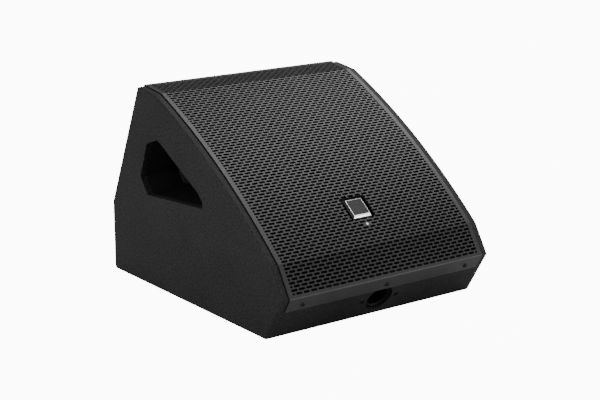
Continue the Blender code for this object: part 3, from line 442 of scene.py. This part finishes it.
def inset(points, distance):
    """A closed clockwise outline moved inwards."""
    moved = []
    for index, point in enumerate(points):
        before = (point - points[index - 1]).normalized()
        after = (points[(index + 1) % len(points)] - point).normalized()
        bisector = (left_of(before) + left_of(after)).normalized()
        moved.append(point - bisector * (distance / bisector.dot(left_of(before))))
    return moved


def frame_at(point, up, x_sign=1):
    across = Vector((x_sign, 0, 0))
    along = Vector((0, up.x, up.y))
    out = across.cross(along)
    origin = Vector((0, point.x - DEPTH_MIDDLE, point.y + FOOT_HEIGHT))
    return Matrix.Translation(origin) @ Matrix((across, along, out)).transposed().to_4x4()


def shifted(base, x=0.0, y=0.0, z=0.0):
    return base @ Matrix.Translation((x, y, z))


def in_row(x, point):
    """A point of the side profile, as a point of the row frame."""
    return Vector((x, point.x - DEPTH_MIDDLE, point.y + FOOT_HEIGHT))


FRONT_UP = NOSE.normalized()
REAR_DOWN = (REAR_BEND - TOP_BACK).normalized()
FRONT_FRAME = frame_at(FRONT_UP * 34 * MM, FRONT_UP)
REAR_FRAME = frame_at(REAR_BEND - REAR_DOWN * 106 * MM, -REAR_DOWN, x_sign=-1)
CHORD_UP = (UPPER_CREASE - LOWER_CREASE).normalized()
BAFFLE_POINT = LOWER_CREASE - left_of(CHORD_UP) * 26 * MM
WOOFER_FRAME = frame_at(BAFFLE_POINT + CHORD_UP * 200 * MM, CHORD_UP)


class Sheet:
    """The bent path of the grille, measured along the face from the nose."""

    def __init__(self):
        half = (UPPER_CREASE - LOWER_CREASE) / 2
        swing = math.asin(half.length / FACE_RADIUS)
        chord = math.atan2(half.y, half.x)
        self.arc_length = 2 * swing * FACE_RADIUS
        inward = -left_of(half.normalized())
        self.centre = LOWER_CREASE + half + inward * math.sqrt(FACE_RADIUS**2 - half.length_squared)
        self.first = chord + swing
        lower = (LOWER_CREASE - NOSE)
        top = (TOP_BACK - UPPER_CREASE)
        self.at_crease = lower.length
        self.at_upper = self.at_crease + self.arc_length
        self.at_back = self.at_upper + top.length
        self.lip_angle = math.atan2(FRONT_UP.y, FRONT_UP.x)
        self.lower_angle = math.atan2(lower.y, lower.x)
        self.top_angle = math.atan2(top.y, top.x)
        self.rear_angle = math.atan2(REAR_DOWN.y, REAR_DOWN.x)
        upper = self.first - 2 * swing
        self.bends = [
            (0.0, self.lip_angle, self.lower_angle, 1.0 * MM),
            (self.at_crease, self.lower_angle, self.first, 2.5 * MM),
            (self.at_upper, upper, self.top_angle, 2.5 * MM),
            (self.at_back, self.top_angle, self.rear_angle, 1.0 * MM),
        ]

    def sharp(self, u):
        """(point, angle of travel) on the unrounded path."""
        if u <= 0:
            return NOSE + FRONT_UP * u, self.lip_angle
        if u <= self.at_crease:
            return NOSE + (LOWER_CREASE - NOSE).normalized() * u, self.lower_angle
        if u <= self.at_upper:
            angle = self.first - (u - self.at_crease) / FACE_RADIUS
            out = Vector((-math.sin(angle), math.cos(angle)))
            return self.centre + out * FACE_RADIUS, angle
        if u <= self.at_back:
            along = (TOP_BACK - UPPER_CREASE).normalized()
            return UPPER_CREASE + along * (u - self.at_upper), self.top_angle
        return TOP_BACK + REAR_DOWN * (u - self.at_back), self.rear_angle

    def spot(self, u, rise):
        """The profile point at u, raised off the face by rise, with the bends rounded."""
        for bend, before, after, radius in self.bends:
            reach = radius * math.tan((before - after) / 2)
            if abs(u - bend) < reach:
                start = self.sharp(bend - reach)[0]
                out = Vector((-math.sin(before), math.cos(before)))
                middle = start - out * radius
                angle = before + (after - before) * (u - bend + reach) / (2 * reach)
                out = Vector((-math.sin(angle), math.cos(angle)))
                return middle + out * (radius + rise)
        point, angle = self.sharp(u)
        return point + Vector((-math.sin(angle), math.cos(angle))) * rise


SHEET_PATH = Sheet()


def face_frame(u, rise=0.0):
    """A frame on the grille's path at u: X across, Y up the face, Z out of it."""
    point, angle = SHEET_PATH.sharp(u)
    along = Vector((math.cos(angle), math.sin(angle)))
    return frame_at(point + left_of(along) * rise, along)


# ---------------------------------------------------------------- making pieces


def add_piece(name, shape, finish, body, matrix=None, replaced=(), angle=35):
    """Turns a bmesh into a piece that rides on a body and may stand for CAD nodes."""
    mesh = bpy.data.meshes.new(name)
    bmesh.ops.recalc_face_normals(shape, faces=shape.faces)
    if matrix:
        shape.transform(matrix)
    shape.to_mesh(mesh)
    shape.free()
    obj = bpy.data.objects.new(name, mesh)
    bpy.context.scene.collection.objects.link(obj)
    for each in finish if isinstance(finish, list) else [finish]:
        mesh.materials.append(FINISHES.get(each, each) if isinstance(each, str) else each)
    if angle:
        mesh.shade_smooth()
        mesh.set_sharp_from_angle(angle=math.radians(angle))
    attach(obj, body)
    if replaced:
        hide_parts(*replaced)
    return obj


def ring(shape, points):
    return [shape.verts.new(point) for point in points]


def bridge(shape, first, second):
    """Quads between two closed rings with the same number of points."""
    count = len(first)
    for index in range(count):
        after = (index + 1) % count
        shape.faces.new((first[index], first[after], second[after], second[index]))


def ring_edges(shape, loop):
    pairs = zip(loop, loop[1:] + loop[:1])
    return [shape.edges.get(pair) or shape.edges.new(pair) for pair in pairs]


def fill(shape, *loops):
    edges = [edge for loop in loops for edge in ring_edges(shape, loop)]
    bmesh.ops.triangle_fill(shape, edges=edges, use_beauty=True)


def lathe(shape, profile, steps, matrix=None, lobes=6, closed=False):
    """Adds a solid of revolution from (radius, height, lobe) in mm; a radius of 0 closes it, and
    lobe is how far the ring waves in and out, as a fraction of its radius."""
    loops = []
    for radius, height, *lobe in profile:
        if radius == 0:
            loops.append([shape.verts.new((0, 0, height * MM))])
            continue
        points = []
        for angle in (math.tau * step / steps for step in range(steps)):
            reach = radius * MM * (1 + (lobe[0] if lobe else 0) * math.cos(lobes * angle))
            points.append((reach * math.cos(angle), reach * math.sin(angle), height * MM))
        loops.append(ring(shape, points))
    if closed:
        loops.append(loops[0])
    for first, second in zip(loops, loops[1:]):
        for index in range(steps):
            after = (index + 1) % steps
            corners = []
            for loop, order in ((first, (index, after)), (second, (after, index))):
                corners += loop if len(loop) == 1 else [loop[place] for place in order]
            shape.faces.new(corners)
    if matrix:
        verts = [vert for loop in loops for vert in loop]
        bmesh.ops.transform(shape, matrix=matrix, verts=verts)
    return loops


# ---------------------------------------------------------------- the slotted grille

ROW_PITCH = 5.51 * MM
FIRST_ROW = 6.8 * MM
ROWS = 84
SLOT_PITCH = 13.386 * MM
SLOTS = 27
SLOT_HALF = 5.85 * MM
SLOT_ROUND = 1.88 * MM
SHORT_SLOT_HALF = 2.3 * MM
SHEET_HALF_WIDTH = 186.8 * MM
BADGE_AT = 121.5 * MM
BADGE_OPENING = (101.2 * MM, 142.6 * MM)
BADGE_OPENING_HALF = 23.2 * MM
LIGHT_AT = 89.9 * MM
LIGHT_ROW = 15
LIGHT_HOLE = 2.35 * MM
SLEEVE_TOP = -0.9 * MM
LIP_HOLE = 2.1 * MM
SCREW_OFFSET = 158 * MM
FRONT_SCREW_DROP = 14.7 * MM
REAR_SCREW_DROP = 9 * MM
HOLE_CELL_RISE = 3.3 * MM


class Layout:
    """The unbent grille: points are shared by place, so that neighbouring cells join."""

    def __init__(self):
        self.shape = bmesh.new()
        self.points = {}

    def point(self, x, u):
        key = (round(x / (MM / 100)), round(u / (MM / 100)))
        if key not in self.points:
            self.points[key] = self.shape.verts.new((x, u, 0))
        return self.points[key]

    def face(self, *corners):
        points = list(dict.fromkeys(self.point(*corner) for corner in corners))
        self.shape.faces.new(points)

    def strip(self, xs, low, high, gaps=()):
        """Quads between two rows of points, except where the middle of one is in a gap."""
        for left, right in zip(xs, xs[1:]):
            if not any(abs((left + right) / 2 - gap) < reach for gap, reach in gaps):
                self.face((left, low), (right, low), (right, high), (left, high))

    def cell(self, x, u, half_width, half_height, slot_half, radius, middle=True, hole=None):
        """One slot or round hole with the metal round it; hole is its centre if not the cell's."""
        cx, cu = hole or (x, u)
        straight = slot_half - radius
        turn = [math.radians(angle) for angle in (-90, -45, 0, 45, 90)]
        right = [(cx + straight + radius * math.cos(a), cu + radius * math.sin(a)) for a in turn]
        left = [(2 * cx - px, py) for px, py in right]
        if not straight:
            left[0], left[4] = right[0], right[4]
        for side, sign in ((right, 1), (left, -1)):
            low, mid, high = ((x + sign * half_width, u + dy) for dy in (-half_height, 0, half_height))
            self.face(low, side[1], side[0])
            self.face(low, mid, side[2], side[1])
            self.face(mid, high, side[3], side[2])
            self.face(high, side[4], side[3])
            if middle:
                self.face((x, u - half_height), low, side[0], (cx, cu - radius))
                self.face(high, (x, u + half_height), (cx, cu + radius), side[4])
        if not middle:
            first, last = x - half_width, x + half_width
            low, high = u - half_height, u + half_height
            self.face((first, low), (last, low), right[0], left[0])
            self.face((last, high), (first, high), left[4], right[4])


def perforate(layout):
    field = SLOTS * SLOT_PITCH / 2
    half_row = ROW_PITCH / 2
    for row in range(ROWS):
        u = FIRST_ROW + row * ROW_PITCH
        odd = row % 2
        count = SLOTS if odd else SLOTS - 1
        for index in range(count):
            x = (index - (count - 1) / 2) * SLOT_PITCH
            if row == LIGHT_ROW and abs(x) < MM:
                lit = (0, LIGHT_AT)
                layout.cell(x, u, SLOT_PITCH / 2, half_row, LIGHT_HOLE, LIGHT_HOLE, True, lit)
            else:
                layout.cell(x, u, SLOT_PITCH / 2, half_row, SLOT_HALF, SLOT_ROUND)
        for sign in (-1, 1):
            if not odd:
                at = sign * (field - SLOT_PITCH / 4)
                layout.cell(at, u, SLOT_PITCH / 4, half_row, SHORT_SLOT_HALF, SLOT_ROUND, False)
            for low, high in ((u - half_row, u), (u, u + half_row)):
                layout.face(
                    (sign * field, low),
                    (sign * SHEET_HALF_WIDTH, low),
                    (sign * SHEET_HALF_WIDTH, high),
                    (sign * field, high),
                )


def plain_rows(layout):
    """The unperforated ends, with rows round the two folded corners and holes for the screws."""
    step = SLOT_PITCH / 2
    columns = [(index - SLOTS) * step for index in range(2 * SLOTS + 1)]
    columns = [-SHEET_HALF_WIDTH, *columns, SHEET_HALF_WIDTH]
    first = FIRST_ROW - ROW_PITCH / 2
    last = FIRST_ROW + (ROWS - 0.5) * ROW_PITCH
    fold = [0.62 * MM * part / 4 for part in range(-4, 5)]
    back = SHEET_PATH.at_back
    ends = (
        (-FRONT_SCREW_DROP, (-1, 0, 1), [-25.5 * MM], [*fold, first]),
        (back + REAR_SCREW_DROP, (-1, 1), [last, *[back + part for part in fold]], [back + 18 * MM]),
    )
    for screws, sides, below, above in ends:
        low, high = screws - HOLE_CELL_RISE, screws + HOLE_CELL_RISE
        middle = (math.floor(SCREW_OFFSET / step) + 0.5) * step
        gaps = [(side * middle, step / 2) if side else (0, step) for side in sides]
        rows = [*below, low, screws, high, *above]
        for start, end in zip(rows, rows[1:]):
            layout.strip(columns, start, end, gaps if low <= (start + end) / 2 <= high else ())
        for side in sides:
            place = (side * SCREW_OFFSET, screws)
            half = step / 2 if side else step
            centre = side * middle
            layout.cell(centre, screws, half, HOLE_CELL_RISE, LIP_HOLE, LIP_HOLE, not side, place)


def slice_across(shape, place, normal, within):
    """Cuts the flat layout's faces along a line, where their middles are within (low, high) corners."""
    low, high = within
    faces = []
    for face in shape.faces:
        middle = face.calc_center_median()
        if low.x < middle.x < high.x and low.y < middle.y < high.y:
            faces.append(face)
    edges = {edge for face in faces for edge in face.edges}
    verts = {vert for face in faces for vert in face.verts}
    bmesh.ops.bisect_plane(
        shape, geom=[*faces, *edges, *verts], dist=MM / 1000, plane_co=place, plane_no=normal
    )


def cut_badge_opening(shape):
    across, along = Vector((1, 0, 0)), Vector((0, 1, 0))
    low = Vector((-BADGE_OPENING_HALF, BADGE_OPENING[0], 0))
    high = Vector((BADGE_OPENING_HALF, BADGE_OPENING[1], 0))
    margin = Vector((SLOT_PITCH, ROW_PITCH * 1.5, 0))
    for corner in (low, high):
        for normal in (across, along):
            slice_across(shape, corner, normal, (low - margin, high + margin))
    inside = []
    for face in shape.faces:
        middle = face.calc_center_median()
        if low.x < middle.x < high.x and low.y < middle.y < high.y:
            inside.append(face)
    bmesh.ops.delete(shape, geom=inside, context="FACES")


def cut_creases(shape):
    """Extra rows where the sheet bends at its two creases, so that each has a small radius."""
    for bend, before, after, radius in SHEET_PATH.bends[1:3]:
        reach = radius * math.tan((before - after) / 2)
        low = Vector((-HALF_WIDTH, bend - ROW_PITCH / 2, 0))
        high = Vector((HALF_WIDTH, bend + ROW_PITCH / 2, 0))
        for part in (-1, -0.33, 0.33, 1):
            slice_across(shape, Vector((0, bend + part * reach, 0)), Vector((0, 1, 0)), (low, high))


def make_grille():
    layout = Layout()
    perforate(layout)
    plain_rows(layout)
    shape = layout.shape
    cut_badge_opening(shape)
    cut_creases(shape)
    loose = [vert for vert in shape.verts if not vert.link_faces]
    bmesh.ops.delete(shape, geom=loose, context="VERTS")
    front = list(shape.verts)
    made = bmesh.ops.extrude_face_region(shape, geom=list(shape.faces), use_keep_orig=True)
    back = [item for item in made["geom"] if isinstance(item, bmesh.types.BMVert)]
    for verts, rise in ((front, PROUD), (back, PROUD - SHEET)):
        for vert in verts:
            vert.co = in_row(vert.co.x, SHEET_PATH.spot(vert.co.y, rise))
    add_piece("slotted_grille", shape, "grille_black", "cabinet", replaced=["grille"], angle=0)


make_grille()


def make_foam():
    """The acoustic foam behind the slots, uneven at its surface, with a pocket for the badge."""
    layout = Layout()
    start, end = 14 * MM, SHEET_PATH.at_back - 22 * MM
    pocket = 28 * MM
    half = 184.5 * MM
    columns = [-half + half * step / 22 for step in range(45)]
    columns = sorted(columns + [-pocket, pocket, -4 * MM, 4 * MM])
    light = LIGHT_AT - 4 * MM
    rows = [start + (end - start) * step / 52 for step in range(53)]
    rows = sorted(rows + [BADGE_AT - pocket, BADGE_AT + pocket, light])
    for low, high in zip(rows, rows[1:]):
        middle = (low + high) / 2
        gaps = [(0, pocket)] if abs(middle - BADGE_AT) < pocket else []
        if light < middle < BADGE_AT:
            gaps.append((0, 4 * MM))
        layout.strip(columns, low, high, gaps)
    shape = layout.shape
    front = list(shape.verts)
    made = bmesh.ops.extrude_face_region(shape, geom=list(shape.faces), use_keep_orig=True)
    back = [item for item in made["geom"] if isinstance(item, bmesh.types.BMVert)]
    for verts, rise, give in ((front, -0.35, 0.5), (back, -5.25, -0.3)):
        for vert in verts:
            sink = give * (0.5 + 0.5 * noise.noise(Vector((vert.co.x, vert.co.y, rise)) * 55))
            vert.co = in_row(vert.co.x, SHEET_PATH.spot(vert.co.y, (rise - sink) * MM))
    foam = add_piece("foam_layer", shape, "foam", "cabinet", replaced=["grille_foam"])


# ---------------------------------------------------------------- cabinet sides and handles

HANDLE_CORNERS = [
    Vector(corner) * MM
    for corner in (
        (323.0, 234.0),
        (292.0, 246.0),
        (284.0, 243.0),
        (174.7, 184.0),
        (163.5, 172.5),
        (163.7, 162.5),
        (324.5, 150.5),
        (344.8, 177.0),
    )
]
HANDLE_OUTLINE = rounded(HANDLE_CORNERS, [2.5 * MM] * len(HANDLE_CORNERS), steps=4)
SIDES = (("left", -1), ("right", 1))


def rings_on_profile(shape, sign, loops):
    """Closed rings on the side profile; loops holds (outline, distance from the centre plane)."""
    return [ring(shape, [in_row(sign * x, point) for point in outline]) for outline, x in loops]


def make_side_panels():
    arc = arc_points(LOWER_CREASE, UPPER_CREASE, FACE_RADIUS, 40)
    corners = [FRONT_BOTTOM, NOSE, LOWER_CREASE, *arc, UPPER_CREASE, TOP_BACK, REAR_BEND, REAR_BOTTOM]
    radii = [0.0] * len(corners)
    radii[-3] = radii[-1] = 5.5 * MM
    outline = rounded(corners, radii)
    inner = HALF_WIDTH - SIDE_THICKNESS
    quarter = [math.radians(90 * step / 5) for step in range(6)]
    for side, sign in SIDES:
        shape = bmesh.new()
        outside = [(outline, inner)]
        for angle in quarter:
            ease = inset(outline, EDGE_ROUND * (1 - math.cos(angle)))
            outside.append((ease, HALF_WIDTH - EDGE_ROUND * (1 - math.sin(angle))))
        outside.append((inset(outline, EDGE_ROUND + 0.8 * MM), HALF_WIDTH))
        rim = HANDLE_RIM
        opening = [(inset(HANDLE_OUTLINE, rim + 0.6 * MM), HALF_WIDTH)]
        for angle in quarter:
            ease = inset(HANDLE_OUTLINE, rim * (1 - math.sin(angle)))
            opening.append((ease, HALF_WIDTH - rim * (1 - math.cos(angle))))
        opening.append((HANDLE_OUTLINE, inner))
        outer_rings = rings_on_profile(shape, sign, outside)
        opening_rings = rings_on_profile(shape, sign, opening)
        for rings in (outer_rings, opening_rings):
            for first, second in zip(rings, rings[1:]):
                bridge(shape, first, second)
        fill(shape, outer_rings[-1], opening_rings[0])
        fill(shape, outer_rings[0], opening_rings[-1])
        name = f"side_panel_{side}"
        add_piece(f"rounded_{name}", shape, "textured_coating", "cabinet", replaced=[name])


def make_handle_cups():
    """Moulded cups: a flange behind the panel, drafted walls and a rounded floor."""
    wall = 2.5 * MM
    depth = 52 * MM
    middle = sum(HANDLE_CORNERS, Vector((0, 0))) / len(HANDLE_CORNERS)
    floor_middle = middle + Vector((16, -4)) * MM
    floor = [floor_middle + (point - middle) * 0.62 for point in HANDLE_OUTLINE]
    face = HALF_WIDTH - SIDE_THICKNESS - GAP
    levels = [(0.0, 0.0), (0.45, 0.48), (0.84, 0.90)]
    levels += [(0.84 + 0.12 * (1 - math.cos(a)), 0.90 + 0.10 * math.sin(a))
               for a in (math.radians(90 * step / 5) for step in range(1, 6))]
    for side, sign in SIDES:
        shape = bmesh.new()
        inside = []
        for along, deep in levels:
            outline = [start.lerp(end, along) for start, end in zip(HANDLE_OUTLINE, floor)]
            inside.append((outline, face - depth * deep))
        outside = [(inset(outline, wall), x) for outline, x in inside[1:]]
        outside = [(outline, min(x, face - wall)) for outline, x in outside]
        outside[-1] = (outside[-1][0], face - depth - wall)
        outside[-2] = (outside[-2][0], face - depth - wall * 0.6)
        flange = [
            (inset(HANDLE_OUTLINE, 5 * MM), face),
            (inset(HANDLE_OUTLINE, 5 * MM), face - wall),
            (inset(HANDLE_OUTLINE, wall), face - wall),
        ]
        inner_rings = rings_on_profile(shape, sign, inside)
        outer_rings = rings_on_profile(shape, sign, [*flange, *outside])
        bridge(shape, inner_rings[0], outer_rings[0])
        for rings in (inner_rings, outer_rings):
            for first, second in zip(rings, rings[1:]):
                bridge(shape, first, second)
            fill(shape, rings[-1])
        name = f"handle_cup_{side}"
        add_piece(f"moulded_{name}", shape, "moulded_black", "cabinet", replaced=[name])


# ---------------------------------------------------------------- badge, screws and feet


def plate_ring(shape, width, height, radius, level, lift=0.0):
    half = Vector((width, height)) / 2
    corners = [Vector((sx * half.x, sy * half.y)) for sx, sy in ((-1, -1), (1, -1), (1, 1), (-1, 1))]
    points = rounded(corners, [radius] * 4, steps=5)
    return ring(shape, [(p.x * MM, (p.y + lift) * MM, level * MM) for p in points])


BADGE_RIM_HALF = 15.4 * MM
BADGE_RIM_RISE = 0.45 * MM


def make_badge():
    """A blank plate: a bright rim and lower bevel round a dark face; its left and right bevels take the
    dark face colour as a painted dark reflection.
    """
    shape = bmesh.new()
    rings = [
        plate_ring(shape, 36.2, 35.6, 1.5, -2.35, -0.1),
        plate_ring(shape, 36.2, 35.6, 1.5, -1.95, -0.1),
        plate_ring(shape, 36.0, 35.4, 1.4, -1.8, -0.1),
        plate_ring(shape, 31.0, 30.4, 0.9, 0.5, 0.5),
        plate_ring(shape, 30.8, 30.2, 0.8, 0.55, 0.5),
        plate_ring(shape, 28.6, 28.0, 0.6, 0.5, 0.5),
        plate_ring(shape, 28.4, 27.8, 0.5, -0.1, 0.5),
    ]
    fill(shape, rings[0])
    for first, second in zip(rings, rings[1:]):
        bridge(shape, first, second)
    shape.normal_update()
    for face in shape.faces:
        middle = face.calc_center_median()
        beside = abs(middle.x) > BADGE_RIM_HALF and middle.z < BADGE_RIM_RISE
        # the left and right bevels of the metal plate get material 1, the dark face colour: a painted
        # dark reflection
        painted_dark_flank = beside and abs(face.normal.x) > 0.3
        face.material_index = 1 if painted_dark_flank else 0
    before = set(shape.faces)
    fill(shape, rings[-1])
    for face in set(shape.faces) - before:
        face.material_index = 1
    at = face_frame(BADGE_AT, PROUD)
    finish = ["badge_metal", BADGE_FACE_AND_PAINTED_FLANKS]
    add_piece("badge", shape, finish, "cabinet", at, ["badge_plate"], 25)


def make_status_light():
    """The light pipe: a milky domed end, and a dark sleeve behind the grille."""
    profile = [
        (0, 0.8), (0.7, 0.72), (1.3, 0.45), (1.75, 0.05), (1.95, -0.4), (1.95, -1.0), (1.98, -1.1),
        (1.98, -27), (3.55, -27), (3.55, -30.9), (0, -30.9),
    ]
    shape = bmesh.new()
    lathe(shape, profile, 28)
    for face in shape.faces:
        face.material_index = 1 if face.calc_center_median().z < SLEEVE_TOP else 0
    finish = ["light_pipe", "moulded_black"]
    at = face_frame(LIGHT_AT, PROUD)
    add_piece("sleeved_light_pipe", shape, finish, "cabinet", at, ["status_light"], 50)


def make_screw(node, at, head, height, length, body="cabinet"):
    """A button-head screw with a six-lobed recess."""
    recess = 0.42 * head
    profile = [
        (0, height - 0.62 * height),
        (recess * 0.92, height - 0.6 * height, 0.13),
        (recess, height * 0.97, 0.13),
        (recess * 1.3, height),
        (head * 0.72, height * 0.9),
        (head * 0.9, height * 0.62),
        (head, height * 0.25),
        (head * 0.98, 0),
        (1.7, 0),
        (1.7, -length),
        (0, -length - 1.5),
    ]
    shape = bmesh.new()
    lathe(shape, profile, 36)
    add_piece(f"torx_{node}", shape, "screw_black", body, at, [node], 40)


POLE_SCREW_OFFSET = 33 * MM
POLE_SCREW_SINK = 2.3 * MM
BOLT_CIRCLE = 148 * MM
BOLT_SEAT = 5.1 * MM


def make_screws():
    front = frame_at(NOSE - FRONT_UP * FRONT_SCREW_DROP, FRONT_UP)
    rear = frame_at(TOP_BACK + REAR_DOWN * REAR_SCREW_DROP, -REAR_DOWN, x_sign=-1)
    front_sides = {"left": -1, "centre": 0, "right": 1}
    rear_sides = {"left": 1, "right": -1}
    for row, base, sides in (("front", front, front_sides), ("rear", rear, rear_sides)):
        for side, sign in sides.items():
            at = shifted(base, x=sign * SCREW_OFFSET, z=PROUD + GAP)
            make_screw(f"grille_screw_{row}_{side}", at, 3.8, 1.8, 11)
    for side, sign in SIDES:
        at = shifted(FRONT_FRAME, x=sign * POLE_SCREW_OFFSET, z=-POLE_SCREW_SINK)
        make_screw(f"pole_socket_screw_{side}", at, 4.2, 2.1, 15)
    for number, angle in enumerate((45, 135, 225, 315), 1):
        turn = Matrix.Rotation(math.radians(angle), 4, "Z")
        at = WOOFER_FRAME @ turn @ Matrix.Translation((BOLT_CIRCLE, 0, BOLT_SEAT))
        make_screw(f"woofer_bolt_{number}", at, 4.2, 3.0, 21.6)


def make_feet():
    profile = [
        (0, 2.7), (13.3, 2.7), (13.85, 2.45), (14, 2.0), (14, 1.0), (13.8, 0.5), (13.3, 0.12),
        (12.6, 0), (10.4, 0), (10.1, 0.35), (9.6, 0.35), (9.3, 0), (6.2, 0), (5.6, 0.3), (5.4, 1.3),
        (0, 1.3),
    ]
    for end, y in (("front", 45.0), ("rear", 392.0)):
        for side, sign in SIDES:
            shape = bmesh.new()
            lathe(shape, profile, 48)
            at = Matrix.Translation((sign * 155 * MM, y * MM - DEPTH_MIDDLE, 0))
            node = f"foot_{end}_{side}"
            add_piece(f"rubber_{node}", shape, "rubber", "cabinet", at, [node])


# ---------------------------------------------------------------- the driver's soft parts


def corrugated(inner, outer, height, swing, folds, thickness, dish, steps_per_fold=6):
    """A closed (radius, height) section of thin cloth with regular folds, and a dished neck."""
    count = folds * steps_per_fold
    top = []
    for step in range(count + 1):
        radius = inner + (outer - inner) * step / count
        fold = swing * math.sin(math.tau * folds * step / count)
        neck = dish * max(0.0, 1 - (radius - inner) / DISH_REACH)
        top.append((radius, height + fold - neck))
    return [*top, *[(radius, level - thickness) for radius, level in reversed(top)]]


DISH_REACH = 12.0


def make_suspension():
    """The treated cloth surround with its three folds, and the corrugated spider."""
    section = [(141, 5.9), (135.5, 5.9)]
    section += [(134.5 - (134.5 - 118.5) * step / 24,
                 4.6 + 2.6 * abs(math.sin(math.pi * 3 * step / 24))) for step in range(25)]
    section += [(117.5, 4.3), (117.5, 3.5), (118.9, 3.5)]
    section += [(118.9 + (134.1 - 118.9) * step / 24,
                 3.9 + 2.5 * abs(math.sin(math.pi * 3 * step / 24))) for step in range(25)]
    section += [(135.5, 5.1), (141, 5.1)]
    shape = bmesh.new()
    lathe(shape, section, 72, closed=True)
    add_piece("pleated_surround", shape, "cloth_edge", "cabinet", WOOFER_FRAME, ["woofer_surround"])
    shape = bmesh.new()
    lathe(shape, corrugated(41.8, 84.6, -50.0, 1.4, 5, 0.7, 3.0), 64, closed=True)
    add_piece("corrugated_spider", shape, "spider_cloth", "cabinet", WOOFER_FRAME, ["spider"])


# ---------------------------------------------------------------- amplifier panel fittings


KNOB_AT = (-12 * MM, 34 * MM)


def make_knob():
    profile = [
        (0, -1.8), (8.4, -1.8), (9.1, -1.45), (9.9, -1.1), (10.6, -1.3), (11.2, -2.1, 0.012),
        (11.5, -2.8, 0.025), (11.65, -11.0, 0.025), (11.7, -11.6, 0.01), (11.7, -12.2),
        (3.4, -12.2), (3.4, -4.0), (0, -4.0),
    ]
    shape = bmesh.new()
    lathe(shape, profile, 144, lobes=24)
    at = shifted(REAR_FRAME, x=KNOB_AT[0], y=KNOB_AT[1])
    add_piece("knurled_knob", shape, "rubber", "encoder_cap", at, ["encoder_knob"])


make_foam()
make_side_panels()
make_handle_cups()
make_badge()
make_status_light()
make_screws()
make_feet()
make_suspension()
make_knob()
